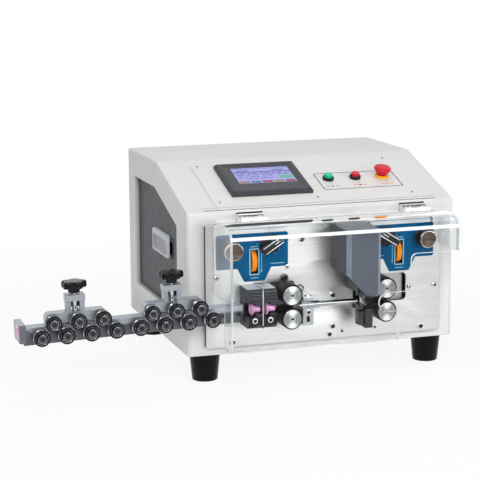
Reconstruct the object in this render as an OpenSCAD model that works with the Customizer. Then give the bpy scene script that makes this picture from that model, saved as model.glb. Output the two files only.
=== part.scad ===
// Benchtop machine that straightens, feeds, cuts and strips electrical wire
// Lengths in millimetres. Modules draw in the machine's own frame: x to the right from the
// cabinet's left side, y backwards from its front face, z upwards from its underside.

/* [Cabinet] */
// Width of the cabinet
cab_w = 420; // [410:2:460]
// Depth of the cabinet
cab_d = 346; // [330:2:400]
// Height of the cabinet without its feet
cab_h = 266; // [256:1:280]
// Height of the front face, up to the start of the slope
front_h = 212; // [208:1:218]
// Depth that the sloping front of the roof takes up
slope_run = 170; // [165:1:190]
// Thickness of the cabinet's sheet steel
sheet = 2; // [1.2:0.1:2.4]
// Outside radius of the cabinet's bends
bend_r = 5; // [3:0.5:8]
// Height of a rubber foot
foot_h = 41.5; // [20:0.5:50]
// Radius of a foot at the cabinet
foot_top_r = 23; // [18:0.5:26]
// Radius of a foot at the floor
foot_floor_r = 19; // [14:0.5:22]

/* [Side panels] */
// Depth of the side panel below the cabinet's side
recess = 8; // [6.5:0.5:14]
// Length of the carrying handle
handle_l = 113; // [90:1:130]
// Height of the carrying handle
handle_h = 36; // [32:1:44]
// Width of the slot that fingers reach through
finger_slot = 16; // [14:0.5:24]
// Depth of the finger cup behind the side panel
cup_depth = 20; // [16:1:34]

/* [Face plate] */
// Width of the steel face plate
face_w = 370; // [362:1:380]
// Height of the face plate
face_h = 182; // [178:1:184]
// Thickness of the face plate
face_t = 8; // [6:0.5:10]
// Height of the plate's lower edge above the cabinet's underside
face_z = 12; // [10:1:14]

/* [Wire path] */
// Height of the wire above the cabinet's underside
wire_z = 74.5; // [72:0.5:76]
// Distance of the wire from the face plate
wire_out = 32; // [31:0.5:34]

/* [Feed rollers] */
// Radius of a feed roller
roller_r = 16; // [14:0.25:16.5]
// Length of a feed roller
roller_l = 35; // [32:0.5:38]
// Distance between the axes of a pair of feed rollers
roller_pitch = 35; // [34.5:0.25:37]
// Radius of a feed roller's shaft
shaft_r = 5; // [4:0.25:6]
// Lift of an upper feed roller
roller_lift = 4; // [2:0.25:4]

/* [Adjusters] */
// Distance of each adjuster panel's middle from the middle of the machine
adjuster_dx = 114.5; // [112:0.5:118]
// Radius of the roller gap wheel
gap_wheel_r = 17.5; // [15:0.25:17.5]
// Width of the roller gap wheel
gap_wheel_w = 7; // [5:0.5:8]
// Radius of the roller pressure knob
pressure_r = 14.2; // [12:0.2:16]
// Radius of the roller lift knob
lift_r = 13.5; // [11:0.25:15]
// Distance that the roller lift knob stands out of the plate
lift_out = 26; // [20:1:32]

/* [Cutter] */
// Width of the cutter cover
hood_w = 53.5; // [50:0.5:54]
// Depth of the cutter cover
hood_d = 66; // [60:1:70]
// Width of the chamfered bends of the cutter cover
hood_bend = 6; // [4:0.5:8]
// Thickness of the cutter cover's sheet
hood_t = 1.5; // [1:0.1:2]
// Travel of each blade from open to cut
blade_travel = 8; // [5:0.5:9]
// Thickness of a blade
blade_t = 1.5; // [1:0.1:1.6]

/* [Clear cover] */
// Width of the clear cover
cover_w = 350; // [344:1:356]
// Reach of the clear cover in front of the cabinet
cover_reach = 97; // [94:1:106]
// Height of the clear cover
cover_h = 178; // [174:1:180]
// Thickness of the clear sheet
cover_t = 4; // [3:0.5:6]
// Radius of the bend between the top and the front of the clear cover
cover_bend_r = 20; // [14:1:24]
// Radius of the hinge pin
hinge_pin_r = 1.6; // [1.2:0.1:2]
// Width of a cover hinge
hinge_w = 40; // [36:1:48]

/* [Straightener] */
// Length of the straightener bar
bar_l = 322; // [316:1:340]
// Droop of the straightener bar, in degrees
bar_tilt = 1.65; // [0:0.05:2]
// Height of the straightener bar
bar_h = 25; // [22:0.5:30]
// Thickness of the straightener bar
bar_t = 20; // [18:0.5:22]
// Radius of a straightening roller's flanges
str_r = 11.7; // [11:0.1:12.4]
// Radius of a straightening roller at the bottom of its groove
groove_r = 8.3; // [7:0.1:8.6]
// Width of a straightening roller
str_w = 10; // [8:0.5:11]
// Distance between two straightening rollers in a row
str_pitch = 35.4; // [34.5:0.1:36.5]
// Height of a row of rollers above or below the wire
str_offset = 9.3; // [9.2:0.1:10.5]
// Radius of the thumb screw
screw_r = 4; // [3:0.25:4.5]
// Radius of the star knob
star_r = 18.5; // [16:0.5:22]

/* [Control panel] */
// Width of the control panel plate
panel_w = 323; // [312:1:340]
// Length of the control panel plate up the slope
panel_l = 140; // [128:1:144]
// Thickness of the control panel plate
panel_t = 1.5; // [1:0.1:2]
// Width of the touch screen's frame
screen_w = 128; // [120:1:132]
// Height of the touch screen's frame
screen_l = 102; // [92:1:106]
// Radius of the collar of a push button
collar_r = 8.7; // [8.4:0.1:10]
// Distance between two buttons
button_pitch = 44; // [40:0.5:48]

/* [Hidden] */
$fn = 48;
// Overshoot of a cut past the faces that it opens
cut = 1;
// Radial clearance of a part that turns or slides in a bore
run_fit = 0.05;
// Clearance between pieces that pass each other
gap = 0.3;

slope_angle = atan2(cab_h - front_h, slope_run);
slope_l = norm([slope_run, cab_h - front_h]);
mid_x = cab_w / 2 + 4;
face_x = (cab_w - face_w) / 2;
face_y = -face_t;
wire_y = face_y - wire_out;

// Outline of the cabinet's side, from the front
profile = [[0, 0], [cab_d, 0], [cab_d, cab_h], [slope_run, cab_h], [0, front_h]];

// Margins of the side window inside that outline
window_front = 57;
window_foot = 49;
window_back = 38;
window_top = 41;
window_slope = 45;
window_front_z = front_h - window_slope + window_front * tan(slope_angle);
window_top_y = (cab_h - window_top - front_h + window_slope) / tan(slope_angle);
window = [[window_front, window_foot], [cab_d - window_back, window_foot],
    [cab_d - window_back, cab_h - window_top], [window_top_y, cab_h - window_top],
    [window_front, window_front_z]];
handle_y = 154;
handle_z = 140.5;
handle_rim = 6;
handle_out = 5;
dish_depth = 3;
dish_top = 9;
dish_rim = 4.5;

// Lap of a plate over the edge of its window
lap = 12;
back_lap = 20;

// Control panel, placed from the slope's front edge
panel_x = (cab_w - panel_w) / 2;
panel_s = (slope_l - panel_l) / 2 - 2;
screen_x = cab_w / 2 - 65;
screen_s = panel_s + 75;
screen_lap = 4;
screen_raise = 7;
button_s = panel_s + 67;
button_x = [for (i = [0:2]) cab_w / 2 + 37.5 + i * button_pitch];
barrel_r = 7.8;
button_r = 6.2;
collar_h = 5;
button_up = 9;
button_travel = 2;
estop_collar_r = 10.5;
estop_collar_h = 3.5;
estop_stem_r = 7;
estop_travel = 3;

// Feed rollers and the carriages of the upper ones
roller_x = [mid_x - 70.2, mid_x + 78];
roller_stand = 6.5;
roller_side = [-1, 1];
lower_z = wire_z - roller_pitch / 2;
upper_z = wire_z + roller_pitch / 2;
opening_in = 18;
opening_out = 48;
opening_h = 38 + roller_lift;
opening_z = upper_z - 29;
carriage_t = 8;
carriage_lap = 2;
boss_r = 11;
motor_w = 57;
motor_y = 22;
cutter_motor_drop = 13;

// Adjuster panels
adjuster_x = [mid_x - adjuster_dx, mid_x + adjuster_dx];
adjuster_z = 137;
slot_w = 11;
slot_h = 35;
pressure_dx = 23;
pressure_z = 163;
lift_dx = 37;
lift_z = 158;
knob_shaft_r = 4;
overlay_t = 0.6;
gap_wheel_out = 4;
gap_wheel_y = face_y - gap_wheel_out + gap_wheel_r;
axle_r = 3;
ear_t = 3;
ear_h = 20;

// Cutter
hood_x = mid_x + 6;
hood_z0 = 88;
hood_z1 = 186;
hood_step = 33;
hood_slant = 30;
blade_x = mid_x + 36.5;
clamp_w = 4;
block_x = blade_x + 2 * blade_t + 2 * gap;
block_w = 12;
block_out = 38;
lower_out = 50;
lower_d = 24;
block_clear = 1.5;
tongue_w = 9;
tongue_slot_low = 19;
tongue_slot_h = 86;

// Clear cover and its hinges
cover_x = cab_w / 2 - 174;
hinge_y = -7;
hinge_z = front_h - 7;
barrel_hinge_r = 4;
cover_top = hinge_z - 1.5;
cover_foot = cover_top - cover_h;
cover_back = hinge_y - barrel_hinge_r - 0.6;
hinge_x = [cab_w / 2 - 136, cab_w / 2 + 120];
leaf_t = 2.5;
cover_right_h = 52;
cover_left_h = 110;
cover_left_d = 35;

// Guide blocks for the wire
guide_x = mid_x - 137;
guide_w = 21;
guide_plate_t = 1.5;
guide_out = 42;
guide_z0 = wire_z - 28;
guide_z1 = wire_z + 29.5;
eyelet_r = 5.5;
eyelet_flare_r = 9.2;
eyelet_bore_r = 2.2;
flare_l = 3.5;
flare_end = flare_l + 1.5;
eyelet_in = 5.5;
eyelet_l = 14;
eyelet_out = 1;

// Guide tube
tube_x = mid_x - 54;
tube_r = 4;
ferrule_r = 5.5;
ferrule_l = 28;
tube_l = 88;
bracket_w = 16;

// Straightener: rollers along the bar, from its right end
bar_end_x = guide_x - 1;
bar_below = bar_h - 4;
block_end_w = 9.5;
block_end_h = 26;
block_end_low = 12;
eyelet_up = 4;
unit_x = [-245.6, -104.1];
slide_half = 43.6;
slide_h = 14.6;
slide_down = 1;
slide_lift = slide_down + 1;
leg_w = 7.4;
leg_in = 6.2;
leg_d = 10;
cap_z = 35.5;
cap_h = 9;
knob_gap = 2;
hub_h = 7;
star_h = 9.5;
spacer_l = 7;
head_l = 3;
axle_pin_r = 4;
// Rollers of one unit, as steps along the bar and side of the wire
unit_rollers = [[-1.5, -1], [-1, 1], [-0.5, -1], [0, 1], [0.5, -1], [1, 1], [1.5, -1]];

// Origin of the part: middle of its bounding box, on the floor
mouth_r = eyelet_flare_r - 1.5;
reach_x = bar_end_x - (bar_l + block_end_w + eyelet_out) * cos(bar_tilt) 
    - (mouth_r + eyelet_up) * sin(bar_tilt);
origin_x = (reach_x + cab_w) / 2;
origin_y = (cab_d - cover_reach) / 2;

ROLLERS = [for (u = [0:1], i = [0:6]) str("straightener_roller_", u * 7 + i + 1)];

// Outline moved inwards by d; its points run counter-clockwise
function inset(points, d) = [for (i = [0:len(points) - 1])
    let (p = points[i],
        u = p - points[(i + len(points) - 1) % len(points)],
        v = points[(i + 1) % len(points)] - p,
        n = [-u.y, u.x] / norm(u),
        m = [-v.y, v.x] / norm(v))
    p + (n + m) * d / (1 + n * m)];

// Move from the machine's frame to the part's origin
module place() translate([-origin_x, -origin_y, foot_h]) children();

// Point on the slope: x across, s up the slope, h above it
module on_slope(x, s, h = 0)
    translate([0, 0, front_h]) rotate([slope_angle, 0, 0]) translate([x, s, h]) children();

// Extrude an outline in y and z along x
module along_x(l) rotate([90, 0, 90]) linear_extrude(l) children();

// Extrude an outline in x and z forwards from y
module forward(y, l) translate([0, y, 0]) rotate([90, 0, 0]) linear_extrude(l) children();

// Cylinder that runs forwards from y at x and z
module rod(x, y, z, r, l) translate([x, y, z]) rotate([90, 0, 0]) cylinder(r = r, h = l);

// Frame of the straightener: x along the bar from its right end, z from the wire
module at_bar() translate([bar_end_x, 0, wire_z]) rotate([0, -bar_tilt, 0]) children();

module rounded_rect(w, h, r) {
    translate([r, 0]) square([w - 2 * r, h]);
    translate([0, r]) square([w, h - 2 * r]);
    for (x = [r, w - r], y = [r, h - r]) translate([x, y]) circle(r);
}

// Outline with its corners rounded to r, then moved inwards by wall
module rounded_polygon(points, r, wall) {
    c = inset(points, r);
    polygon(c);
    for (i = [0:len(c) - 1]) {
        a = c[i];
        b = c[(i + 1) % len(c)];
        out = [b.y - a.y, a.x - b.x] / norm(b - a) * (r - wall);
        polygon([a - out, a + out, b + out, b - out]);
        translate(a) circle(r - wall);
    }
}

// Solid of the cabinet's outside, with its faces moved inwards by wall
module cabinet_block(wall) {
    drop = 4 * bend_r;
    low = wall > 0 ? -cut : 0;
    intersection() {
        translate([wall, 0, 0]) along_x(cab_w - 2 * wall)
            rounded_polygon([[0, -drop], [cab_d, -drop], [cab_d, cab_h], [slope_run, cab_h],
                [0, front_h]], bend_r, wall);
        translate([wall, wall, low]) linear_extrude(cab_h)
            rounded_rect(cab_w - 2 * wall, cab_d - 2 * wall, bend_r - wall);
    }
}

module cabinet_shell() color("whitesmoke") {
    difference() {
        cabinet_block(0);
        cabinet_block(sheet);
        translate([face_x + lap, -cut, face_z + lap])
            cube([face_w - 2 * lap, bend_r + cut, face_h - 2 * lap]);
        on_slope(panel_x + lap, panel_s + lap, -sheet - cut)
            cube([panel_w - 2 * lap, panel_l - 2 * lap, sheet + 2 * cut]);
        translate([-cut, 0, 0]) along_x(cab_w + 2 * cut) polygon(window);
        translate([back_lap, cab_d - bend_r, back_lap])
            cube([cab_w - 2 * back_lap, bend_r + cut, cab_h - 2 * back_lap]);
    }
    for (x = [0, cab_w - recess]) translate([x, 0, 0]) along_x(recess) difference() {
        polygon(inset(window, -sheet));
        polygon(window);
    }
}

module base_tray() color("gainsboro") {
    tray_w = cab_w - 2 * sheet - 2 * gap;
    tray_d = cab_d - 2 * sheet - 2 * gap;
    flange_h = 16;
    translate([sheet + gap, sheet + gap, 0]) {
        linear_extrude(sheet) rounded_rect(tray_w, tray_d, bend_r - sheet);
        for (x = [0, tray_w - sheet]) translate([x, bend_r, 0])
            cube([sheet, tray_d - 2 * bend_r, flange_h]);
    }
}

// Recess of the mains inlet and its switch in the rear panel
inlet_x = 70;
inlet_z = 60;
inlet_w = 27;
inlet_h = 47;
inlet_rim = 3;

module rear_panel() color("whitesmoke") {
    over = 10;
    slots = 9;
    slot_pitch = 11;
    slot_l = 70;
    translate([0, cab_d - sheet, 0]) difference() {
        forward(0, sheet) difference() {
            translate([back_lap - over, back_lap - over])
                square([cab_w - 2 * back_lap + 2 * over, cab_h - 2 * back_lap + 2 * over]);
            for (x = [cab_w * 0.36, cab_w * 0.62], i = [0:slots - 1])
                translate([x, cab_h * 0.5 + i * slot_pitch]) rounded_rect(slot_l, 4, 1.9);
            translate([inlet_x, inlet_z]) square([inlet_w, inlet_h]);
        }
    }
}

module mains_inlet() color("dimgray") {
    depth = 28;
    socket_w = 24;
    socket_h = 16;
    rocker_h = 19;
    difference() {
        union() {
            forward(cab_d, sheet) translate([inlet_x - inlet_rim, inlet_z - inlet_rim])
                square([inlet_w + 2 * inlet_rim, inlet_h + 2 * inlet_rim]);
            forward(cab_d - sheet, depth) translate([inlet_x + gap, inlet_z + gap])
                square([inlet_w - 2 * gap, inlet_h - 2 * gap]);
        }
        forward(cab_d + cut, 18 + cut) translate([inlet_x + (inlet_w - socket_w) / 2, inlet_z + 4])
            square([socket_w, socket_h]);
        forward(cab_d + cut, 12 + cut)
            translate([inlet_x + (inlet_w - rocker_w) / 2 - gap, switch_z - rocker_h / 2 - gap])
            square([rocker_w + 2 * gap, rocker_h + 2 * gap]);
        translate([inlet_x + inlet_w / 2, switch_y, switch_z]) rotate([0, 90, 0])
            cylinder(r = rocker_pin_r + run_fit, h = rocker_w + 2 * rocker_pin_l + gap, center = true);
    }
    for (x = [-3.5, 0, 3.5]) translate([inlet_x + inlet_w / 2 + x, 0, inlet_z + 12 - abs(x) / 2])
        forward(cab_d - 8, 11) square([1.2, 4], center = true);
}

switch_z = inlet_z + 34;
switch_y = cab_d - 6;
rocker_w = 13;
rocker_pin_r = 1.5;
rocker_pin_l = 3;

module power_switch() color("black") {
    translate([inlet_x + inlet_w / 2, switch_y, switch_z]) rotate([0, 90, 0])
        cylinder(r = rocker_pin_r, h = rocker_w + 2 * rocker_pin_l, center = true);
    translate([inlet_x + (inlet_w - rocker_w) / 2, switch_y, switch_z]) along_x(rocker_w)
        polygon([[2.6, -8.4], [3.6, 0], [5.2, 8.4], [3.4, 8.4], [-3, 6], [-3, -6], [1.2, -8.4]]);
}

module side_panels() color("dimgray") {
    for (x = [recess, cab_w - recess - sheet]) translate([x, 0, 0]) along_x(sheet) difference() {
        polygon(inset(window, -sheet));
        translate([handle_y, handle_z])
            square([handle_l - 2 * handle_rim, handle_h - 2 * handle_rim], center = true);
    }
}

// Flush carrying handle for the left side: a dished lid with a finger slot at its front end
module carry_handle() {
    cup_l = handle_l - 2 * handle_rim - 2 * gap;
    cup_h = handle_h - 2 * handle_rim - 2 * gap;
    wall = 2;
    slot_y = handle_y - cup_l / 2 + wall;
    lid_y = slot_y + finger_slot;
    lid_l = handle_y + handle_l / 2 - lid_y;
    difference() {
        union() {
            translate([recess - handle_out, lid_y, handle_z - handle_h / 2])
                along_x(handle_out) rounded_rect(lid_l, handle_h, 5);
            translate([recess, handle_y, handle_z]) along_x(cup_depth)
                square([cup_l, cup_h], center = true);
        }
        translate([recess, handle_y, handle_z]) along_x(cup_depth - wall)
            square([cup_l - 2 * wall, cup_h - 2 * wall], center = true);
        translate([recess - cut, slot_y, handle_z - cup_h / 2 + wall])
            cube([2 * cut, finger_slot, cup_h - 2 * wall]);
        translate([recess - handle_out - cut, lid_y + dish_rim, handle_z - handle_h / 2 + dish_rim])
            along_x(dish_depth + cut)
            rounded_rect(lid_l - 2 * dish_rim, handle_h - dish_rim - dish_top, 4);
    }
}

module carry_handles() color("silver") {
    carry_handle();
    translate([cab_w, 0, 0]) mirror([1, 0, 0]) carry_handle();
}

module rubber_feet() color("black") {
    inset_x = 32;
    inset_y = 24;
    for (x = [inset_x, cab_w - inset_x], y = [inset_y, cab_d - inset_y])
        translate([x, y, -foot_h]) difference() {
            cylinder(r1 = foot_floor_r, r2 = foot_top_r, h = foot_h);
            translate([0, 0, -cut]) cylinder(r = foot_floor_r / 3, h = foot_h / 3 + cut);
        }
}

module face_plate() color("lightsteelblue") difference() {
    translate([face_x, 0, face_z]) forward(0, face_t) rounded_rect(face_w, face_h, 3);
    for (i = [0:1]) {
        side = roller_side[i];
        translate([roller_x[i], 0, opening_z]) mirror([side < 0 ? 1 : 0, 0, 0])
            translate([-opening_in, 0, 0]) forward(cut, face_t + 2 * cut)
            rounded_rect(opening_in + opening_out, opening_h, 6);
        rod(roller_x[i], cut, lower_z, shaft_r + run_fit, face_t + 2 * cut);
        rod(adjuster_x[i] - side * pressure_dx, cut, pressure_z, knob_shaft_r + run_fit,
            face_t + 2 * cut);
        rod(adjuster_x[i] + side * lift_dx, cut, lift_z, knob_shaft_r + run_fit, face_t + 2 * cut);
        translate([adjuster_x[i] - slot_w / 2, 0, adjuster_z - slot_h / 2])
            forward(cut, face_t + 2 * cut) square([slot_w, slot_h]);
    }
    translate([block_x + (block_w - tongue_w) / 2 - 1, 0, wire_z - tongue_slot_low])
        forward(cut, face_t + 2 * cut) rounded_rect(tongue_w + 2, tongue_slot_h, 3);
}

// Film round the adjusters of the left side, drawn from the middle of the slot
module overlay_outline() {
    outer = 56;
    inner = 52;
    tab = 16;
    tab_top = 26;
    foot = -29;
    step = -9;
    head = 42;
    difference() {
        polygon([[-outer, step], [-tab_top, step], [-tab, foot], [tab, foot], [tab_top, step],
            [inner, step], [inner, head], [-outer, head]]);
        translate([-slot_w / 2, -slot_h / 2]) square([slot_w, slot_h]);
        translate([pressure_dx, pressure_z - adjuster_z]) circle(knob_shaft_r + 1);
        translate([-lift_dx, lift_z - adjuster_z]) circle(knob_shaft_r + 1);
    }
}

module adjuster_overlays() color("steelblue") for (i = [0:1])
    translate([adjuster_x[i], 0, adjuster_z]) mirror([i, 0, 0]) forward(face_y, overlay_t)
        overlay_outline();

module wheel_brackets() color("darkgray") for (i = [0:1]) {
    inside = gap_wheel_w / 2 + 1;
    back = gap_wheel_y + gap_wheel_r + 1;
    translate([adjuster_x[i], 0, adjuster_z]) difference() {
        translate([-inside - ear_t, 0, -ear_h / 2])
            cube([2 * (inside + ear_t), back + ear_t, ear_h]);
        translate([-inside, -cut, -ear_h]) cube([2 * inside, back + cut, 2 * ear_h]);
        translate([-inside - ear_t - cut, gap_wheel_y, 0]) rotate([0, 90, 0])
            cylinder(r = axle_r + run_fit, h = 2 * (inside + ear_t + cut));
    }
}

module gap_wheel(i) color("darkorange") {
    axle_l = gap_wheel_w + 2 * (1 + ear_t);
    notches = 36;
    notch_r = 0.8;
    translate([adjuster_x[i], gap_wheel_y, adjuster_z]) rotate([0, 90, 0]) {
        difference() {
            cylinder(r = gap_wheel_r, h = gap_wheel_w, center = true);
            for (k = [0:notches - 1]) rotate(k * 360 / notches) translate([gap_wheel_r, 0, 0])
                cylinder(r = notch_r, h = gap_wheel_w + 2 * cut, center = true, $fn = 16);
        }
        cylinder(r = axle_r, h = axle_l, center = true);
    }
}

// Pointer knob with a raised grip, turned by angle
module pressure_knob(i, angle) color("black") {
    base_h = 7;
    grip_w = 9;
    grip_h = 13;
    nut_r = 7;
    x = adjuster_x[i] - roller_side[i] * pressure_dx;
    front_y = face_y - overlay_t - gap;
    rod(x, front_y, pressure_z, pressure_r, base_h);
    translate([x, front_y - base_h, pressure_z]) rotate([0, -angle, 0])
        translate([-pressure_r - 2, -grip_h, -grip_w / 2])
        cube([2 * pressure_r + 4, grip_h, grip_w]);
    rod(x, gap, pressure_z, knob_shaft_r, gap - front_y);
    rod(x, gap + 4, pressure_z, nut_r, 4);
}

module lift_knob(i) color("saddlebrown") {
    bevel = 1.5;
    nut_r = 7;
    x = adjuster_x[i] + roller_side[i] * lift_dx;
    front_y = face_y - overlay_t - gap;
    grip_l = lift_out - gap - overlay_t - bevel;
    rod(x, front_y, lift_z, lift_r, grip_l);
    translate([x, front_y - grip_l, lift_z]) rotate([90, 0, 0])
        cylinder(r1 = lift_r, r2 = lift_r - bevel, h = bevel);
    rod(x, gap, lift_z, knob_shaft_r, gap - front_y);
    rod(x, gap + 4, lift_z, nut_r, 4);
}

// Feed roller on its shaft, which ends at y = end
module feed_roller(i, z, end) color("silver") {
    cap_r = roller_r - 1.6;
    cap_t = 1.2;
    centre_r = 2;
    centre_l = 1.6;
    back_y = face_y - roller_stand;
    difference() {
        union() {
            rod(roller_x[i], back_y, z, roller_r, roller_l);
            rod(roller_x[i], back_y - roller_l, z, cap_r, cap_t);
            rod(roller_x[i], end, z, shaft_r, end - back_y);
        }
        translate([roller_x[i], back_y - roller_l - cap_t - cut, z]) rotate([-90, 0, 0])
            cylinder(r1 = centre_r, r2 = 0.4, h = centre_l + cut);
    }
}

module roller_carriage(i) color("lightgray") {
    foot_z = lower_z + shaft_r + 2 * gap;
    head_z = opening_z + opening_h + carriage_lap;
    inner = opening_in - carriage_lap;
    outer = opening_out - carriage_lap;
    translate([roller_x[i], 0, 0]) mirror([roller_side[i] < 0 ? 1 : 0, 0, 0]) difference() {
        union() {
            translate([-inner, gap, foot_z]) cube([inner + outer, carriage_t, head_z - foot_z]);
            translate([0, gap, upper_z]) rotate([-90, 0, 0])
                cylinder(r = boss_r, h = motor_y - 2 - gap);
        }
        translate([0, -cut, upper_z]) rotate([-90, 0, 0])
            cylinder(r = shaft_r + run_fit, h = motor_y + cut);
    }
}

// Stepper motor on posts behind the face plate; posts lists its corners
module motor(x, z, l, posts) {
    post_r = 3;
    corner = 23.5;
    translate([x - motor_w / 2, motor_y, z - motor_w / 2]) cube([motor_w, l, motor_w]);
    for (p = posts) rod(x + p.x * corner, motor_y, z + p.y * corner, post_r, motor_y);
}

module drive_motors() color("darkslategray") {
    feed_l = 76;
    cutter_l = 90;
    for (i = [0:1]) motor(roller_x[i], lower_z, feed_l,
        [[-1, -1], [1, -1], [-roller_side[i], 1]]);
    motor(mid_x + 4, pressure_z - cutter_motor_drop, cutter_l, [[-1, -1], [1, -1], [-1, 1], [1, 1]]);
}

module control_electronics() color("seagreen") {
    supply = [80, 200, 50];
    board = [170, 120, 2];
    post_h = 10;
    translate([30, cab_d - 240, sheet]) cube(supply);
    translate([200, cab_d - 160, sheet]) {
        translate([0, 0, post_h]) cube(board);
        for (x = [6, board.x - 6], y = [6, board.y - 6]) translate([x, y, 0])
            cylinder(r = 3, h = post_h);
        translate([20, 20, post_h + board.z]) cube([60, 80, 30]);
        translate([100, 30, post_h + board.z]) cube([50, 60, 18]);
    }
}

module control_panel() color("whitesmoke") {
    hole_w = screen_w - 2 * screen_lap;
    hole_l = screen_l - 2 * screen_lap;
    on_slope(0, 0, 0) difference() {
        translate([panel_x, panel_s, 0]) linear_extrude(panel_t) rounded_rect(panel_w, panel_l, 4);
        translate([screen_x - hole_w / 2, screen_s - hole_l / 2, -cut])
            cube([hole_w, hole_l, panel_t + 2 * cut]);
        for (i = [0:2]) translate([button_x[i], button_s, -cut])
            cylinder(r = barrel_r + gap, h = panel_t + 2 * cut);
    }
}

module touch_screen() color("dimgray") {
    body_h = 28;
    bevel = 3;
    view_w = 95;
    view_l = 56;
    glass_drop = 1;
    hole_w = screen_w - 2 * screen_lap - 2 * gap;
    hole_l = screen_l - 2 * screen_lap - 2 * gap;
    on_slope(screen_x, screen_s, panel_t) difference() {
        union() {
            hull() {
                translate([-screen_w / 2, -screen_l / 2, 0]) linear_extrude(screen_raise - bevel)
                    rounded_rect(screen_w, screen_l, 2.5);
                translate([-screen_w / 2 + bevel, -screen_l / 2 + bevel, 0])
                    linear_extrude(screen_raise)
                    rounded_rect(screen_w - 2 * bevel, screen_l - 2 * bevel, 2);
            }
            translate([-hole_w / 2, -hole_l / 2, -body_h]) cube([hole_w, hole_l, body_h]);
        }
        translate([-view_w / 2, -view_l / 2, screen_raise - glass_drop])
            cube([view_w, view_l, glass_drop + cut]);
    }
}

// Collar of a push button with its barrel behind the panel
module collar(i, flange_r, flange_h, bore_r) {
    barrel_l = 22;
    floor_t = 10;
    on_slope(button_x[i], button_s, panel_t) difference() {
        union() {
            cylinder(r = flange_r, h = flange_h);
            translate([0, 0, -barrel_l]) cylinder(r = barrel_r, h = barrel_l);
        }
        translate([0, 0, floor_t - barrel_l]) cylinder(r = bore_r, h = barrel_l + flange_h);
    }
}

module button_collars() color("black") {
    for (i = [0:1]) collar(i, collar_r, collar_h, button_r + run_fit);
    collar(2, estop_collar_r, estop_collar_h, estop_stem_r + run_fit);
}

module push_button(i) {
    sink = 8;
    on_slope(button_x[i], button_s, panel_t - sink) {
        cylinder(r = button_r, h = sink + button_up - 1);
        translate([0, 0, sink + button_up - 1]) cylinder(r1 = button_r, r2 = button_r - 1, h = 1);
    }
}

module start_button() color("mediumseagreen") push_button(0);

module stop_button() color("red") push_button(1);

module emergency_stop() color("red") {
    sink = 7;
    head_z = estop_collar_h + estop_travel + 0.5;
    on_slope(button_x[2], button_s, panel_t) {
        translate([0, 0, -sink]) cylinder(r = estop_stem_r, h = sink + head_z + cut);
        rotate_extrude() polygon([[0, head_z], [9.5, head_z], [10.4, head_z + 0.7],
            [13, head_z + 5.4], [13.4, head_z + 6.8], [13, head_z + 8], [11.6, head_z + 8.8],
            [7, head_z + 9.3], [0, head_z + 9.5]]);
    }
}

// Screw head that stands forwards from y on the face plate, with a hexagon socket
module socket_head(x, y, z, r, h) difference() {
    rod(x, y, z, r, h);
    rod(x, y - h / 2, z, r * 0.55, h, $fn = 6);
}

module machine_screws() color("dimgray") {
    plate_screws = [[-42, 166], [7.5, 78.5], [8, 31], [3, 19], [151, 20], [-148.4, 19]];
    small_screws = [[23.5, 22], [76.5, 23.8]];
    dome_screws = [[132.5, 82.5], [173, 83], [-170, 117]];
    stop_screws = [[-68.5, 111], [-44, 93]];
    film_screw = [-60, 125.5];
    for (p = plate_screws) socket_head(mid_x + p.x, face_y, p.y, 3.8, 2.4);
    for (p = small_screws) socket_head(mid_x + p.x, face_y, p.y, 2, 1);
    for (p = dome_screws) translate([mid_x + p.x, face_y, p.y]) rotate([90, 0, 0])
        cylinder(r1 = 4.6, r2 = 2.6, h = 3);
    for (p = stop_screws) socket_head(mid_x + p.x, face_y, p.y, 5.5, 5);
    socket_head(mid_x + film_screw.x, face_y, film_screw.y, 3, 2);
    for (i = [0:1]) socket_head(guide_x + 11 + i * (guide_w + guide_plate_t + 1),
        face_y - guide_out, wire_z - 18, 3.6, 2.5);
    at_bar() for (x = [-8, -33]) socket_head(x, face_y - bar_t, -8, 4, 2.5);
    screw_in = 9;
    for (x = [panel_x + screw_in, cab_w / 2, cab_w - panel_x - screw_in],
        s = [panel_s + screw_in, panel_s + panel_l - screw_in])
        on_slope(x, s, panel_t) cylinder(r = 2.6, h = 1.2);
}

// Block that holds one ceramic eyelet, with a channel open to the front
module guide_block(x) {
    front_y = face_y - guide_out;
    bevel = 6;
    channel_h = 2 * (eyelet_r + 0.1);
    pocket_r = eyelet_flare_r + 0.5;
    pocket_l = eyelet_in + flare_end + 0.5;
    difference() {
        translate([x, 0, 0]) along_x(guide_w) polygon([[face_y, guide_z0],
            [face_y, guide_z1], [front_y + bevel, guide_z1], [front_y, guide_z1 - bevel],
            [front_y, guide_z0 + bevel], [front_y + bevel, guide_z0]]);
        translate([x - cut, wire_y, wire_z]) rotate([0, 90, 0])
            cylinder(r = channel_h / 2, h = guide_w + 2 * cut);
        translate([x - cut, front_y - cut, wire_z - channel_h / 2])
            cube([guide_w + 2 * cut, wire_y - front_y + cut, channel_h]);
        translate([x - cut, wire_y, wire_z]) rotate([0, 90, 0])
            cylinder(r = pocket_r, h = pocket_l + cut);
        translate([x - cut, front_y - cut, wire_z - pocket_r])
            cube([pocket_l + cut, wire_y - front_y + cut, 2 * pocket_r]);
    }
}

module guide_blocks() color("black") {
    front_y = face_y - guide_out;
    guide_block(guide_x);
    guide_block(guide_x + guide_w + guide_plate_t);
    translate([guide_x + guide_w, 0, 0]) difference() {
        translate([0, front_y, guide_z0]) cube([guide_plate_t, guide_out, guide_z1 - guide_z0]);
        translate([-cut, wire_y, wire_z]) rotate([0, 90, 0])
            cylinder(r = eyelet_r, h = guide_plate_t + 2 * cut);
    }
}

// Trumpet of glazed ceramic along x, from its flared mouth
module eyelet(l) rotate([0, 90, 0]) rotate_extrude() polygon([[mouth_r, 0],
    [eyelet_flare_r, 1], [eyelet_flare_r, 2], [eyelet_r + 1, flare_l], [eyelet_r, flare_end],
    [eyelet_r, l], [eyelet_bore_r, l], [eyelet_bore_r, 5], [eyelet_bore_r + 1.5, 2.5]]);

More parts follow.
